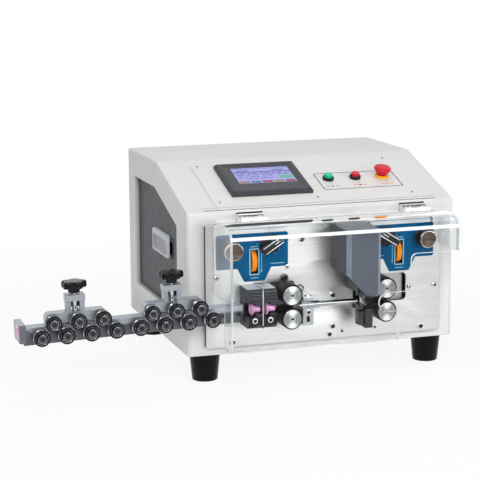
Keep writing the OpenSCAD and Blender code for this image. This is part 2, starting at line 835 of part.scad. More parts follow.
module ceramic_eyelets() color("pink") {
    for (i = [0:1]) translate([guide_x + eyelet_in + i * (guide_w + guide_plate_t), wire_y, wire_z])
        eyelet(eyelet_l);
    at_bar() translate([-bar_l - block_end_w - eyelet_out, wire_y, eyelet_up]) eyelet(block_end_w);
}

module guide_tube() color("silver") {
    arm_h = 22;
    plate_t = 8;
    plate_h = 46;
    plate_low = 31;
    slot_low = 26;
    slot_l = 14;
    adjust_w = 5;
    front_y = wire_y;
    translate([tube_x, wire_y, wire_z]) rotate([0, 90, 0]) difference() {
        union() {
            cylinder(r = ferrule_r, h = ferrule_l);
            cylinder(r = tube_r, h = tube_l);
        }
        translate([0, 0, -cut]) cylinder(r = tube_r - 1, h = tube_l + 2 * cut);
        translate([0, 0, -cut]) cylinder(r1 = ferrule_r - 0.6 + 1, r2 = tube_r - 1, h = 5 + cut);
    }
    translate([tube_x + 4, 0, wire_z]) difference() {
        union() {
            translate([0, front_y + 4, -plate_low]) cube([bracket_w, face_y - front_y - 4, arm_h]);
            translate([0, front_y, -plate_low]) cube([bracket_w, plate_t, plate_h]);
        }
        translate([-cut, wire_y, 0]) rotate([0, 90, 0])
            cylinder(r = ferrule_r + 0.1, h = bracket_w + 2 * cut);
        forward(front_y + plate_t + cut, plate_t + 2 * cut)
            translate([(bracket_w - adjust_w) / 2, -slot_low])
            rounded_rect(adjust_w, slot_l, adjust_w / 2 - 0.1);
    }
}

module cutter_cover() color("slategray") {
    back_y = face_y;
    front_y = face_y - hood_d;
    b = hood_bend;
    t = hood_t;
    w = hood_w;
    outside = [[0, back_y], [0, front_y + b], [b, front_y], [w - b, front_y], [w, front_y + b],
        [w, back_y]];
    difference() {
        translate([hood_x, 0, hood_z0]) linear_extrude(hood_z1 - hood_z0) polygon(outside);
        translate([hood_x, 0, hood_z0 - cut]) linear_extrude(hood_z1 - hood_z0 - t + cut)
            polygon([[t, back_y + cut], [t, front_y + b + t / 2], [b + t / 2, front_y + t],
                [w - b - t / 2, front_y + t], [w - t, front_y + b + t / 2], [w - t, back_y + cut]]);
        forward(cut, hood_d + face_t + 2 * cut) polygon([[hood_x - cut, hood_z0 - cut],
            [hood_x + hood_slant, hood_z0 - cut], [hood_x + hood_slant, hood_z0],
            [hood_x, hood_z0 + hood_step], [hood_x - cut, hood_z0 + hood_step]]);
    }
}

// Blade above the wire with the clamp that holds it; outer is the clamp's upper end
module blade(x, outer, clamp_y, clamp_d) {
    tip = 4.5;
    notch = 5;
    blade_w = 24;
    inner = blade_travel + block_clear;
    translate([blade_x - clamp_w, clamp_y, inner + 4])
        cube([block_x + 1 - blade_x + clamp_w, clamp_d, outer - inner - 8]);
    translate([x, 0, 0]) along_x(blade_t) polygon([[wire_y - blade_w / 2, tip],
        [wire_y - blade_w / 2, outer - 8], [wire_y + blade_w / 2, outer - 8],
        [wire_y + blade_w / 2, tip], [wire_y, tip + notch]]);
}

module upper_blade() color("darkslategray") translate([0, 0, wire_z]) {
    back_y = face_y - gap - 0.2;
    inner = blade_travel + block_clear;
    outer = 66;
    blade(blade_x, outer, back_y - block_out, block_out);
    translate([block_x, back_y - block_out, inner]) cube([block_w, block_out, outer - inner]);
    translate([block_x + (block_w - tongue_w) / 2, back_y - cut, 30]) cube([tongue_w, 14, 12]);
}

module lower_blade() color("darkslategray") translate([0, 0, wire_z]) mirror([0, 0, 1]) {
    front_y = face_y - lower_out;
    inner = blade_travel + block_clear;
    outer = 38;
    arm_h = 7.5;
    blade(blade_x + blade_t + gap, outer, front_y + 3, lower_d - 6);
    translate([block_x, front_y, inner]) cube([block_w, lower_d, outer - inner]);
    translate([block_x + (block_w - tongue_w) / 2, front_y + lower_d - cut, inner])
        cube([tongue_w, lower_out - lower_d + 14, arm_h]);
}

module hinge_bases() color("silver") for (x = hinge_x) {
    knuckle = hinge_w / 4;
    translate([x, -leaf_t, hinge_z - 8]) cube([hinge_w, leaf_t, 14]);
    for (k = [0, hinge_w - knuckle]) {
        translate([x + k, hinge_y, hinge_z]) rotate([0, 90, 0])
            cylinder(r = barrel_hinge_r, h = knuckle);
        translate([x + k, hinge_y, hinge_z - 2]) cube([knuckle, -hinge_y - leaf_t + cut, 4]);
    }
    translate([x, hinge_y, hinge_z]) rotate([0, 90, 0]) cylinder(r = hinge_pin_r, h = hinge_w);
}

module hinge_leaves() color("silver") for (x = hinge_x) {
    knuckle = hinge_w / 4 + gap;
    leaf_d = 17;
    difference() {
        union() {
            translate([x + knuckle, hinge_y, hinge_z]) rotate([0, 90, 0])
                cylinder(r = barrel_hinge_r, h = hinge_w - 2 * knuckle);
            translate([x + knuckle, hinge_y - barrel_hinge_r - 1, cover_top])
                cube([hinge_w - 2 * knuckle, barrel_hinge_r + 1, leaf_t]);
            translate([x, hinge_y - barrel_hinge_r - leaf_d, cover_top])
                cube([hinge_w, leaf_d - 1, leaf_t]);
        }
        translate([x, hinge_y, hinge_z]) rotate([0, 90, 0])
            cylinder(r = hinge_pin_r + run_fit, h = hinge_w);
    }
}

// Section of the clear sheet: flat top, round bend and upright front, in y and z
module cover_section() {
    centre = [-cover_reach + cover_bend_r, cover_top - cover_bend_r];
    difference() {
        union() {
            translate([-cover_reach, cover_foot]) square([cover_t, cover_h - cover_bend_r]);
            translate([centre.x, cover_top - cover_t]) square([cover_back - centre.x, cover_t]);
            intersection() {
                translate(centre) circle(cover_bend_r);
                translate([-cover_reach, centre.y]) square(cover_bend_r);
            }
        }
        translate(centre) circle(cover_bend_r - cover_t);
    }
}

// Face of the clear cover's end, back to the plate; low is the height of its lower edge
module cover_end(low) {
    centre = [-cover_reach + cover_bend_r, cover_top - cover_bend_r];
    translate([-cover_reach, low]) square([cover_back + cover_reach, centre.y - low]);
    translate([centre.x, low]) square([cover_back - centre.x, cover_top - low]);
    translate(centre) circle(cover_bend_r);
}

module clear_cover() color("lightcyan", 0.4) {
    right_low = cover_top - cover_right_h;
    bar_clear = cover_top - cover_left_h;
    step_x = cover_x + 274;
    lower_x = cover_x + 254;
    notch_x = cover_x + 238;
    notch_r = 14;
    notch_z = cover_foot + 57;
    difference() {
        union() {
            translate([cover_x, 0, 0]) along_x(cover_w) cover_section();
            translate([cover_x, 0, 0]) along_x(cover_t) cover_end(cover_foot);
            translate([cover_x + cover_w - cover_t, 0, 0]) along_x(cover_t) cover_end(right_low);
        }
        translate([cover_x - cut, cover_left_d - cover_reach, cover_foot - cut])
            cube([cover_t + 2 * cut, cover_reach, bar_clear - cover_foot + cut]);
        translate([step_x, -cover_reach - cut, cover_foot - cut])
            cube([cover_w, cover_t + 2 * cut, right_low - cover_foot + cut]);
        translate([lower_x, -cover_reach - cut, cover_foot - cut])
            cube([cover_w, cover_t + 2 * cut, notch_z - cover_foot + cut]);
        rod(notch_x, -cover_reach + cover_t + cut, notch_z, notch_r, cover_t + 2 * cut);
        translate([notch_x, -cover_reach - cut, notch_z - notch_r])
            cube([cover_w, cover_t + 2 * cut, 2 * notch_r]);
    }
}

// Shoulder screw that carries one straightening roller, at x and z on the bar's frame
module roller_axle(x, z) {
    y = face_y - bar_t;
    rod(x, y, z, axle_pin_r + 2, spacer_l - gap);
    rod(x, y, z, axle_pin_r, spacer_l + str_w + gap + 1);
    socket_head(x, y - spacer_l - str_w - gap, z, axle_pin_r + 2, head_l);
}

module straightener_bar() color("lightslategray") at_bar() {
    y = face_y - bar_t;
    difference() {
        union() {
            translate([-bar_l, y, -bar_below]) cube([bar_l, bar_t, bar_h]);
            translate([-bar_l - block_end_w, wire_y - 10, -block_end_low])
                cube([block_end_w, face_y - wire_y + 10, block_end_h]);
        }
        translate([-bar_l - block_end_w - cut, wire_y, eyelet_up]) rotate([0, 90, 0])
            cylinder(r = eyelet_r + 0.1, h = block_end_w + 2 * cut);
        translate([-bar_l - block_end_w - cut, wire_y, eyelet_up]) rotate([0, 90, 0])
            cylinder(r = eyelet_flare_r + 0.5, h = cut + flare_end - eyelet_out + 0.5);
    }
    for (u = unit_x) {
        for (p = unit_rollers) if (p[1] < 0) roller_axle(u + p[0] * str_pitch, -str_offset);
        for (s = [-1, 1]) translate([u + s * (leg_in + leg_w / 2) - leg_w / 2,
            y + (bar_t - leg_d) / 2, bar_h - bar_below]) cube([leg_w, leg_d, cap_z - 3]);
        translate([u, y, cap_z]) difference() {
            translate([-leg_in - leg_w, 0, 0]) cube([2 * (leg_in + leg_w), bar_t, cap_h]);
            translate([0, bar_t / 2, -cut]) cylinder(r = screw_r + run_fit, h = cap_h + 2 * cut);
        }
    }
}

// Plate that carries the upper rollers and slides on the legs of its yoke
module straightener_slide(i) color("lightslategray") at_bar() {
    y = face_y - bar_t;
    low = bar_h - bar_below + slide_lift;
    edge_r = 7;
    translate([unit_x[i], 0, 0]) {
        difference() {
            forward(face_y, bar_t) translate([-slide_half, low]) {
                rounded_rect(2 * slide_half, slide_h, edge_r);
                square([2 * slide_half, edge_r]);
            }
            for (s = [-1, 1]) translate([s * (leg_in + leg_w / 2) - leg_w / 2 - gap,
                y + (bar_t - leg_d) / 2 - gap, low - cut])
                cube([leg_w + 2 * gap, leg_d + 2 * gap, slide_h + 2 * cut]);
            translate([0, y + bar_t / 2, low + slide_h / 2])
                cylinder(r = screw_r + run_fit, h = slide_h);
        }
        for (p = unit_rollers) if (p[1] > 0) roller_axle(p[0] * str_pitch, str_offset);
    }
}

// Thumb screw with a star knob
module thumb_screw(i) color("black") at_bar() {
    lobes = 5;
    hub_r = 8.5;
    low = bar_h - bar_below + slide_lift + slide_h / 2 + gap;
    knob_z = cap_z + cap_h + knob_gap;
    lobe_r = star_r * 0.36;
    translate([unit_x[i], face_y - bar_t / 2, 0]) {
        translate([0, 0, low]) cylinder(r = screw_r, h = knob_z - low + cut);
        translate([0, 0, knob_z]) cylinder(r = hub_r, h = hub_h + cut);
        translate([0, 0, knob_z + hub_h]) {
            cylinder(r = star_r * 0.62, h = star_h);
            for (k = [0:lobes - 1]) rotate(k * 360 / lobes)
                translate([star_r - lobe_r, 0, 0]) cylinder(r = lobe_r, h = star_h - 1);
        }
    }
}

// Grooved straightening roller number n of the row of fourteen
module straightener_roller(n) color("gray") {
    u = floor(n / 7);
    p = unit_rollers[n % 7];
    flange = 1.6;
    lip = 0.6;
    at_bar() translate([unit_x[u] + p[0] * str_pitch, face_y - bar_t - spacer_l, p[1] * str_offset])
        rotate([90, 0, 0]) rotate_extrude() polygon([[axle_pin_r + run_fit, 0], [str_r - lip, 0],
            [str_r, lip], [str_r, flange], [groove_r, str_w / 2 - 1], [groove_r, str_w / 2 + 1],
            [str_r, str_w - flange], [str_r, str_w - lip], [str_r - lip, str_w],
            [axle_pin_r + run_fit, str_w]]);
}

place() {
    cabinet_shell();
    base_tray();
    rear_panel();
    side_panels();
    carry_handles();
    rubber_feet();
    face_plate();
    adjuster_overlays();
    wheel_brackets();
    drive_motors();
    control_electronics();
    mains_inlet();
    power_switch();
    control_panel();
    touch_screen();
    button_collars();
    start_button();
    stop_button();
    emergency_stop();
    machine_screws();
    guide_blocks();
    ceramic_eyelets();
    guide_tube();
    cutter_cover();
    upper_blade();
    lower_blade();
    gap_wheel(0);  // left_gap_wheel
    gap_wheel(1);  // right_gap_wheel
    pressure_knob(0, 35);  // left_pressure_knob
    pressure_knob(1, -35);  // right_pressure_knob
    lift_knob(0);  // left_lift_knob
    lift_knob(1);  // right_lift_knob
    roller_carriage(0);  // left_carriage
    roller_carriage(1);  // right_carriage
    feed_roller(0, upper_z, motor_y - 2);  // left_upper_roller
    feed_roller(1, upper_z, motor_y - 2);  // right_upper_roller
    feed_roller(0, lower_z, motor_y - gap);  // left_lower_roller
    feed_roller(1, lower_z, motor_y - gap);  // right_lower_roller
    hinge_bases();
    hinge_leaves();
    clear_cover();
    straightener_bar();
    straightener_slide(0);  // left_slide
    straightener_slide(1);  // right_slide
    thumb_screw(0);  // left_thumb_screw
    thumb_screw(1);  // right_thumb_screw
    for (n = [0:13]) straightener_roller(n);
}
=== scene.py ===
"""Dresses a benchtop machine that straightens, feeds, cuts and strips electrical wire."""

import math

import bmesh
import bpy
from bpy.props import FloatProperty, FloatVectorProperty, IntProperty, PointerProperty
from bpy.types import Operator, Panel, PropertyGroup
from mathutils import Matrix, Vector


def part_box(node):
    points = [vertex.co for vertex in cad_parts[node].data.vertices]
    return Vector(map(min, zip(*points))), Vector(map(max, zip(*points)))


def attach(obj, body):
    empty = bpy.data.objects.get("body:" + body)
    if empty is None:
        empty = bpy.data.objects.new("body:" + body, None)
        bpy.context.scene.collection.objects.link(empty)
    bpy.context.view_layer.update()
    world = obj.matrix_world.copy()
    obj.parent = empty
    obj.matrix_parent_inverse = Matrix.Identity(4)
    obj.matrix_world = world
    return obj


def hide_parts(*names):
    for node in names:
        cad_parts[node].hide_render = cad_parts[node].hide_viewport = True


bl_info = {
    "name": "Wire Machine Dresser",
    "version": (1, 0, 0),
    "blender": (4, 5, 0),
    "location": "View3D > Sidebar > Wire Machine",
    "description": "Finishes the pieces of a wire cutting and stripping machine",
    "category": "Object",
}

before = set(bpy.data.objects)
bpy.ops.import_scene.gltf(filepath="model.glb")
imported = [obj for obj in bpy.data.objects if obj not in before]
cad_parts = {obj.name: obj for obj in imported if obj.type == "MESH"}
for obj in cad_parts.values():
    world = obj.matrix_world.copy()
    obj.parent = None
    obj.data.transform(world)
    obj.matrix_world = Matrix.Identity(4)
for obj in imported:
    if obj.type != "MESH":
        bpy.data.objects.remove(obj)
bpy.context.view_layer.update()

# Pieces are drawn in millimetres in the machine's own frame: x from the cabinet's left side,
# y from its front face towards the back, z from its underside
MM = 0.001
CORNER = Vector(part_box("cabinet_shell")[0])
MACHINE = Matrix.Translation(CORNER) @ Matrix.Scale(MM, 4)
CAB_W, CAB_D, CAB_H = ((b - a) / MM for a, b in zip(*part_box("cabinet_shell")))
FOOT_H = CORNER.z / MM
FRONT_H = 212.0
SLOPE_RUN = 170.0
SLOPE_ANGLE = math.atan2(CAB_H - FRONT_H, SLOPE_RUN)
SLOPE_L = math.hypot(CAB_H - FRONT_H, SLOPE_RUN)
MID_X = CAB_W / 2 + 4
FACE_Y = -8.0
WIRE_Y = FACE_Y - 32.0
WIRE_Z = 74.5
BAR_TILT = math.radians(1.65)
GUIDE_X = MID_X - 137
BAR_END_X = GUIDE_X - 1

# Local frames: x and s on the sloping roof, and x along the straightener bar
SLOPE = Matrix.Translation((0, 0, FRONT_H)) @ Matrix.Rotation(SLOPE_ANGLE, 4, "X")
BAR = Matrix.Translation((BAR_END_X, 0, WIRE_Z)) @ Matrix.Rotation(-BAR_TILT, 4, "Y")
ALONG_X = Matrix(((0, 0, 1, 0), (1, 0, 0, 0), (0, 1, 0, 0), (0, 0, 0, 1)))
QUARTER = math.pi / 2


def move(x, y, z):
    """Shift by millimetres."""
    return Matrix.Translation((x, y, z))


def forward(x, y, z):
    """Frame at a point with its own z axis towards the front of the machine."""
    return move(x, y, z) @ Matrix.Rotation(QUARTER, 4, "X")


def span(node):
    """Low and high corner of a solid of the frame, in the machine's millimetres."""
    return [(Vector(corner) - CORNER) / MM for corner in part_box(node)]


# Mesh builders: each returns a bmesh in millimetres

def block(low, high, edge=0.6, steps=2):
    """Box between two corners with rounded edges."""
    bm = bmesh.new()
    bmesh.ops.create_cube(bm, size=1.0)
    low, high = Vector(low), Vector(high)
    size = high - low
    for vert in bm.verts:
        vert.co = Vector(((vert.co[i] + 0.5) * size[i] + low[i]) for i in range(3))
    if edge > 0:
        bmesh.ops.bevel(bm, geom=bm.edges[:], offset=edge, segments=steps, profile=0.5,
                        affect="EDGES", clamp_overlap=True)
    return bm


def lathe(profile, steps=48, tags=None):
    """Turned piece round its own z axis from pairs of radius and height.

    Its map holds the length along the profile and the share of a turn.
    """
    bm = bmesh.new()
    uv = bm.loops.layers.uv.new("turning")
    rings, along = [], [0.0]
    for a, b in zip(profile, profile[1:]):
        along.append(along[-1] + math.dist(a, b))
    for radius, height in profile:
        if radius < 1e-6:
            rings.append([bm.verts.new((0, 0, height))] * steps)
        else:
            rings.append([bm.verts.new((x, y, height)) for x, y in circle(0, 0, radius, steps)])
    for i in range(len(rings) - 1):
        for k in range(steps):
            n = (k + 1) % steps
            corners = [(rings[i][k], i, k), (rings[i][n], i, k + 1),
                       (rings[i + 1][n], i + 1, k + 1), (rings[i + 1][k], i + 1, k)]
            unique = []
            for corner in corners:
                if corner[0] not in [u[0] for u in unique]:
                    unique.append(corner)
            if len(unique) < 3:
                continue
            face = bm.faces.new([u[0] for u in unique])
            face.material_index = tags[i] if tags else 0
            for loop, (_, ring, step) in zip(face.loops, unique):
                loop[uv].uv = (along[ring], step / steps)
    bmesh.ops.recalc_face_normals(bm, faces=bm.faces[:])
    return bm


def plate(outline, holes=(), depth=1.0, edge=0.3, steps=2):
    """Flat sheet in x and y from z = 0 up to its depth, with rounded edges and holes."""
    curve = bpy.data.curves.new("sheet", "CURVE")
    curve.dimensions = "2D"
    curve.fill_mode = "BOTH"
    curve.extrude = depth / 2 - edge
    curve.bevel_depth = edge
    curve.bevel_resolution = steps
    curve.offset = -edge
    for loop in (outline, *holes):
        spline = curve.splines.new("POLY")
        spline.points.add(len(loop) - 1)
        for point, (x, y) in zip(spline.points, loop):
            point.co = (x, y, 0, 1)
        spline.use_cyclic_u = True
    holder = bpy.data.objects.new("sheet", curve)
    mesh = bpy.data.meshes.new_from_object(holder)
    bm = bmesh.new()
    bm.from_mesh(mesh)
    bpy.data.objects.remove(holder)
    bpy.data.curves.remove(curve)
    bpy.data.meshes.remove(mesh)
    bmesh.ops.remove_doubles(bm, verts=bm.verts[:], dist=1e-4)
    bmesh.ops.translate(bm, verts=bm.verts[:], vec=(0, 0, depth / 2))
    bmesh.ops.recalc_face_normals(bm, faces=bm.faces[:])
    return bm


def loft(rings, cap_start=False, cap_end=True, tags=None):
    """Skin through closed rings of equal length."""
    bm = bmesh.new()
    rows = [[bm.verts.new(p) for p in ring] for ring in rings]
    for i, (a, b) in enumerate(zip(rows, rows[1:])):
        for k in range(len(a)):
            n = (k + 1) % len(a)
            bm.faces.new((a[k], a[n], b[n], b[k])).material_index = tags[i] if tags else 0
    if cap_start:
        bm.faces.new(list(reversed(rows[0])))
    if cap_end:
        bm.faces.new(rows[-1])
    bmesh.ops.recalc_face_normals(bm, faces=bm.faces[:])
    return bm


# Outlines: closed lists of points in x and y

def circle(x, y, radius, steps=32):
    """Round outline."""
    return [(x + radius * math.cos(2 * math.pi * k / steps),
             y + radius * math.sin(2 * math.pi * k / steps)) for k in range(steps)]


def rounded(points, radius, steps=5):
    """Outline with its corners rounded; radius is one number or one for each corner."""
    out, count = [], len(points)
    for i in range(count):
        r = radius[i] if isinstance(radius, (list, tuple)) else radius
        p = Vector(points[i])
        a = (Vector(points[i - 1]) - p).normalized()
        b = (Vector(points[(i + 1) % count]) - p).normalized()
        half = a.angle(b) / 2
        if r <= 0 or abs(half - QUARTER) < 1e-3:
            out.append(tuple(p))
            continue
        reach = r / math.tan(half)
        centre = p + (a + b).normalized() * (r / math.sin(half))
        start, end = p + a * reach - centre, p + b * reach - centre
        for k in range(steps + 1):
            turn = start.normalized().slerp(end.normalized(), k / steps) * r
            out.append(tuple(centre + turn))
    return out


def rectangle(x0, y0, x1, y1, radius=0.0, steps=5):
    """Rectangular outline with rounded corners."""
    points = [(x0, y0), (x1, y0), (x1, y1), (x0, y1)]
    return rounded(points, radius, steps) if radius else points


def placed(name, data):
    """New object in the scene."""
    obj = bpy.data.objects.new(name, data)
    bpy.context.scene.collection.objects.link(obj)
    return obj


class Piece:
    """One visible object, gathered from several meshes and finishes."""

    def __init__(self, name, body, slot, stands_for=()):
        self.name, self.body, self.slot = name, body, slot
        self.stands_for = stands_for
        self.bm = bmesh.new()
        self.finishes = []

    def add(self, bm, *finishes, at=Matrix.Identity(4)):
        """Take in a mesh; its material numbers count through the finishes given."""
        numbers = []
        for finish in finishes:
            if finish not in self.finishes:
                self.finishes.append(finish)
            numbers.append(self.finishes.index(finish))
        bm.transform(at)
        if at.determinant() < 0:
            bmesh.ops.reverse_faces(bm, faces=bm.faces[:])
        for face in bm.faces:
            face.material_index = numbers[min(face.material_index, len(numbers) - 1)]
        mesh = bpy.data.meshes.new("gather")
        bm.to_mesh(mesh)
        bm.free()
        self.bm.from_mesh(mesh)
        bpy.data.meshes.remove(mesh)
        return self

    def build(self, smooth=35.0):
        """Make the object, in metres, and let it ride on its body."""
        self.bm.transform(MACHINE)
        mesh = bpy.data.meshes.new(self.name)
        self.bm.to_mesh(mesh)
        self.bm.free()
        for finish in self.finishes:
            mesh.materials.append(finish)
        mesh.polygons.foreach_set("use_smooth", [True] * len(mesh.polygons))
        mesh.set_sharp_from_angle(angle=math.radians(smooth))
        obj = placed(self.name, mesh)
        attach(obj, self.body)
        if self.stands_for:
            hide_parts(*self.stands_for)
        return obj


def soften(node, finish, width=0.4, steps=2, angle=40.0):
    """Give a solid of the frame its finish and small rounded edges."""
    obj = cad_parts[node]
    mesh = obj.data
    mesh.materials.clear()
    mesh.materials.append(finish)
    if "custom_normal" in mesh.attributes:
        mesh.attributes.remove(mesh.attributes["custom_normal"])
    mesh.polygons.foreach_set("use_smooth", [True] * len(mesh.polygons))
    weld = obj.modifiers.new("Weld", "WELD")
    weld.merge_threshold = 1e-6
    bevel = obj.modifiers.new("Edges", "BEVEL")
    bevel.width = width * MM
    bevel.segments = steps
    bevel.limit_method = "ANGLE"
    bevel.angle_limit = math.radians(angle)
    bevel.use_clamp_overlap = True
    bevel.harden_normals = True
    return obj


# Finishes: procedural materials in the frame's own metres

# Heights between which most of a noise lies
NOISE_LOW, NOISE_HIGH = 0.3, 0.7


def finish_base(name, colour, roughness, metallic=0.0):
    """Material and its shader, or no shader where the finish was made before."""
    material = bpy.data.materials.get(name)
    if material:
        return material, None
    material = bpy.data.materials.new(name)
    material.use_nodes = True
    shader = material.node_tree.nodes["Principled BSDF"]
    shader.inputs["Base Color"].default_value = (*colour, 1)
    shader.inputs["Roughness"].default_value = roughness
    shader.inputs["Metallic"].default_value = metallic
    material.diffuse_color = (*colour, 1)
    return material, shader


def node_of(shader, kind, **values):
    """New node in the shader's tree with its inputs set by name."""
    node = shader.id_data.nodes.new(kind)
    for key, value in values.items():
        node.inputs[key.replace("_", " ")].default_value = value
    return node


def calc(tree, operation, *values):
    """Result of one sum on sockets and numbers."""
    node = tree.nodes.new("ShaderNodeMath")
    node.operation = operation
    for slot, value in zip(node.inputs, values):
        if isinstance(value, float):
            slot.default_value = value
        else:
            tree.links.new(value, slot)
    return node.outputs["Value"]


def ranged(tree, value, start, end, low, high):
    """Socket carried from one range of numbers to another."""
    node = tree.nodes.new("ShaderNodeMapRange")
    for socket, number in (("From Min", start), ("From Max", end), ("To Min", low), ("To Max", high)):
        node.inputs[socket].default_value = number
    tree.links.new(value, node.inputs["Value"])
    return node.outputs["Result"]


def stretched(texture, source, stretch):
    """Height of a texture over the piece, with its places stretched along the axes."""
    tree = texture.id_data
    coords = tree.nodes.new("ShaderNodeTexCoord")
    mapping = tree.nodes.new("ShaderNodeMapping")
    mapping.inputs["Scale"].default_value = stretch
    tree.links.new(coords.outputs[source], mapping.inputs["Vector"])
    tree.links.new(mapping.outputs["Vector"], texture.inputs["Vector"])
    return texture.outputs["Fac"]


def noise(shader, scale, detail=3.0, stretch=(1, 1, 1), source="Object", rough=0.5):
    """Height of a noise over the piece; scale counts grains in a metre."""
    texture = node_of(shader, "ShaderNodeTexNoise", Scale=scale, Detail=detail, Roughness=rough)
    return stretched(texture, source, stretch)


def spread(shader, height, low, high, socket):
    """Drive a number of the shader between two values by a height."""
    tree = shader.id_data
    tree.links.new(ranged(tree, height, NOISE_LOW, NOISE_HIGH, low, high), shader.inputs[socket])


def tint(shader, height, dark, light):
    """Mix the colour between two shades by a height."""
    tree = shader.id_data
    ramp = tree.nodes.new("ShaderNodeValToRGB")
    stops = ((NOISE_LOW, dark), (NOISE_HIGH, light))
    for stop, (position, colour) in zip(ramp.color_ramp.elements, stops):
        stop.position = position
        stop.color = (*colour, 1)
    tree.links.new(height, ramp.inputs["Fac"])
    tree.links.new(ramp.outputs["Color"], shader.inputs["Base Color"])


def relief(shader, height, strength, depth):
    """Small bumps; depth in metres."""
    tree = shader.id_data
    bump = node_of(shader, "ShaderNodeBump", Strength=strength, Distance=depth)
    tree.links.new(height, bump.inputs["Height"])
    tree.links.new(bump.outputs["Normal"], shader.inputs["Normal"])


def shade(colour, factor):
    """Colour made lighter or darker."""
    return tuple(min(1.0, c * factor) for c in colour)


def powder_coat(name, colour, roughness=0.42, gloss=0.35):
    """Sprayed paint with a fine orange peel."""
    material, shader = finish_base(name, colour, roughness)
    if shader:
        shader.inputs["Specular IOR Level"].default_value = gloss
        tint(shader, noise(shader, 14, 4), shade(colour, 0.975), shade(colour, 1.02))
        spread(shader, noise(shader, 60, 3), roughness - 0.05, roughness + 0.06, "Roughness")
        relief(shader, noise(shader, 1100, 2), 0.10, 0.0003)
    return material


def plastic(name, colour, roughness=0.3, grain=0.05, gloss=0.22):
    """Moulded plastic with a faint grain."""
    material, shader = finish_base(name, colour, roughness)
    if shader:
        shader.inputs["Specular IOR Level"].default_value = gloss
        tint(shader, noise(shader, 90, 3), shade(colour, 0.9), shade(colour, 1.1))
        spread(shader, noise(shader, 240, 3), roughness - 0.05, roughness + 0.08, "Roughness")
        relief(shader, noise(shader, 2600, 2), grain, 0.0002)
    return material


def brushed(name, colour, roughness=0.3, stretch=(8, 900, 900), turn=0.25, depth=0.1, pull=0.75):
    """Metal with long scratches; stretch is small along the scratches, turn sets their glint."""
    material, shader = finish_base(name, colour, roughness, 1.0)
    if shader:
        lines = noise(shader, 1.0, 4, stretch, rough=0.65)
        tint(shader, lines, shade(colour, 0.86), shade(colour, 1.07))
        spread(shader, lines, roughness - 0.04, roughness + 0.05, "Roughness")
        relief(shader, lines, depth, 0.0002)
        shader.inputs["Anisotropic"].default_value = pull
        shader.inputs["Anisotropic Rotation"].default_value = turn
    return material


def blasted(name, colour, roughness=0.42):
    """Aluminium blasted with beads, dull and finely mottled."""
    material, shader = finish_base(name, colour, roughness, 0.9)
    if shader:
        tint(shader, noise(shader, 220, 5, rough=0.7), shade(colour, 0.82), shade(colour, 1.16))
        spread(shader, noise(shader, 90, 3), roughness - 0.06, roughness + 0.08, "Roughness")
        relief(shader, noise(shader, 2400, 2), 0.25, 0.0002)
    return material


def painted_highlight_wedges(shader, lines):
    """Height with two painted highlight wedges across a turned face, over its fine rings."""
    tree = shader.id_data
    coords = tree.nodes.new("ShaderNodeTexCoord")
    axes = tree.nodes.new("ShaderNodeSeparateXYZ")
    tree.links.new(coords.outputs["UV"], axes.inputs["Vector"])
    twice_round = calc(tree, "MULTIPLY", axes.outputs["Y"], 4 * math.pi)
    wave = calc(tree, "MULTIPLY_ADD", calc(tree, "COSINE", twice_round), -0.5, 0.5)
    narrow = calc(tree, "POWER", wave, 3.0)
    painted_highlight = calc(tree, "MULTIPLY_ADD", narrow, 0.55, 0.08)
    return calc(tree, "MULTIPLY_ADD", lines, 0.4, painted_highlight)


def turned(name, colour, roughness=0.25, rings=5.0, pull=0.85, low=0.86, painted_highlight=False):
    """Metal faced on a lathe, with rings round the axis, a glint and, if asked, two wedges of painted
    highlight.
    """
    material, shader = finish_base(name, colour, roughness, 1.0)
    if shader:
        tree = shader.id_data
        lines = noise(shader, 1.0, 3, (rings, 0.0, 0.0), "UV", 0.7)
        # The wedges paint a highlight into the colour.
        pattern = painted_highlight_wedges(shader, lines) if painted_highlight else lines
        tint(shader, pattern, shade(colour, low), shade(colour, 1.08))
        spread(shader, lines, roughness - 0.06, roughness + 0.08, "Roughness")
        relief(shader, lines, 0.15, 0.0002)
        across = tree.nodes.new("ShaderNodeTangent")
        across.direction_type = "UV_MAP"
        across.uv_map = "turning"
        tree.links.new(across.outputs["Tangent"], shader.inputs["Tangent"])
        shader.inputs["Anisotropic"].default_value = pull
    return material


def plated(name, colour, roughness=0.12):
    """Bright plated metal with faint smears."""
    material, shader = finish_base(name, colour, roughness, 1.0)
    if shader:
        tint(shader, noise(shader, 120, 3), shade(colour, 0.93), shade(colour, 1.04))
        spread(shader, noise(shader, 60, 4), roughness - 0.05, roughness + 0.1, "Roughness")
    return material


def rubber(name, colour):
    """Moulded rubber with a dull, mottled skin."""
    material, shader = finish_base(name, colour, 0.4)
    if shader:
        shader.inputs["Specular IOR Level"].default_value = 0.13
        tint(shader, noise(shader, 70, 4), shade(colour, 0.75), shade(colour, 1.3))
        spread(shader, noise(shader, 130, 3), 0.26, 0.36, "Roughness")
        relief(shader, noise(shader, 1500, 3), 0.1, 0.0003)
    return material


def knurled(name, colour, roughness=0.45, metallic=0.6):
    """Rim of a turned piece with crossed fine grooves."""
    material, shader = finish_base(name, colour, roughness, metallic)
    if shader:
        waves = []
        along, grooves = 0.55, 44.0
        for lean in (1, -1):
            texture = node_of(shader, "ShaderNodeTexWave", Scale=1.0)
            texture.bands_direction = "DIAGONAL"
            waves.append(stretched(texture, "UV", (along, lean * grooves, 1)))
        meet = calc(shader.id_data, "MULTIPLY", *waves)
        shader.inputs["Specular IOR Level"].default_value = 0.2
        relief(shader, meet, 0.5, 0.0004)
        tint(shader, meet, shade(colour, 0.7), shade(colour, 1.25))
    return material


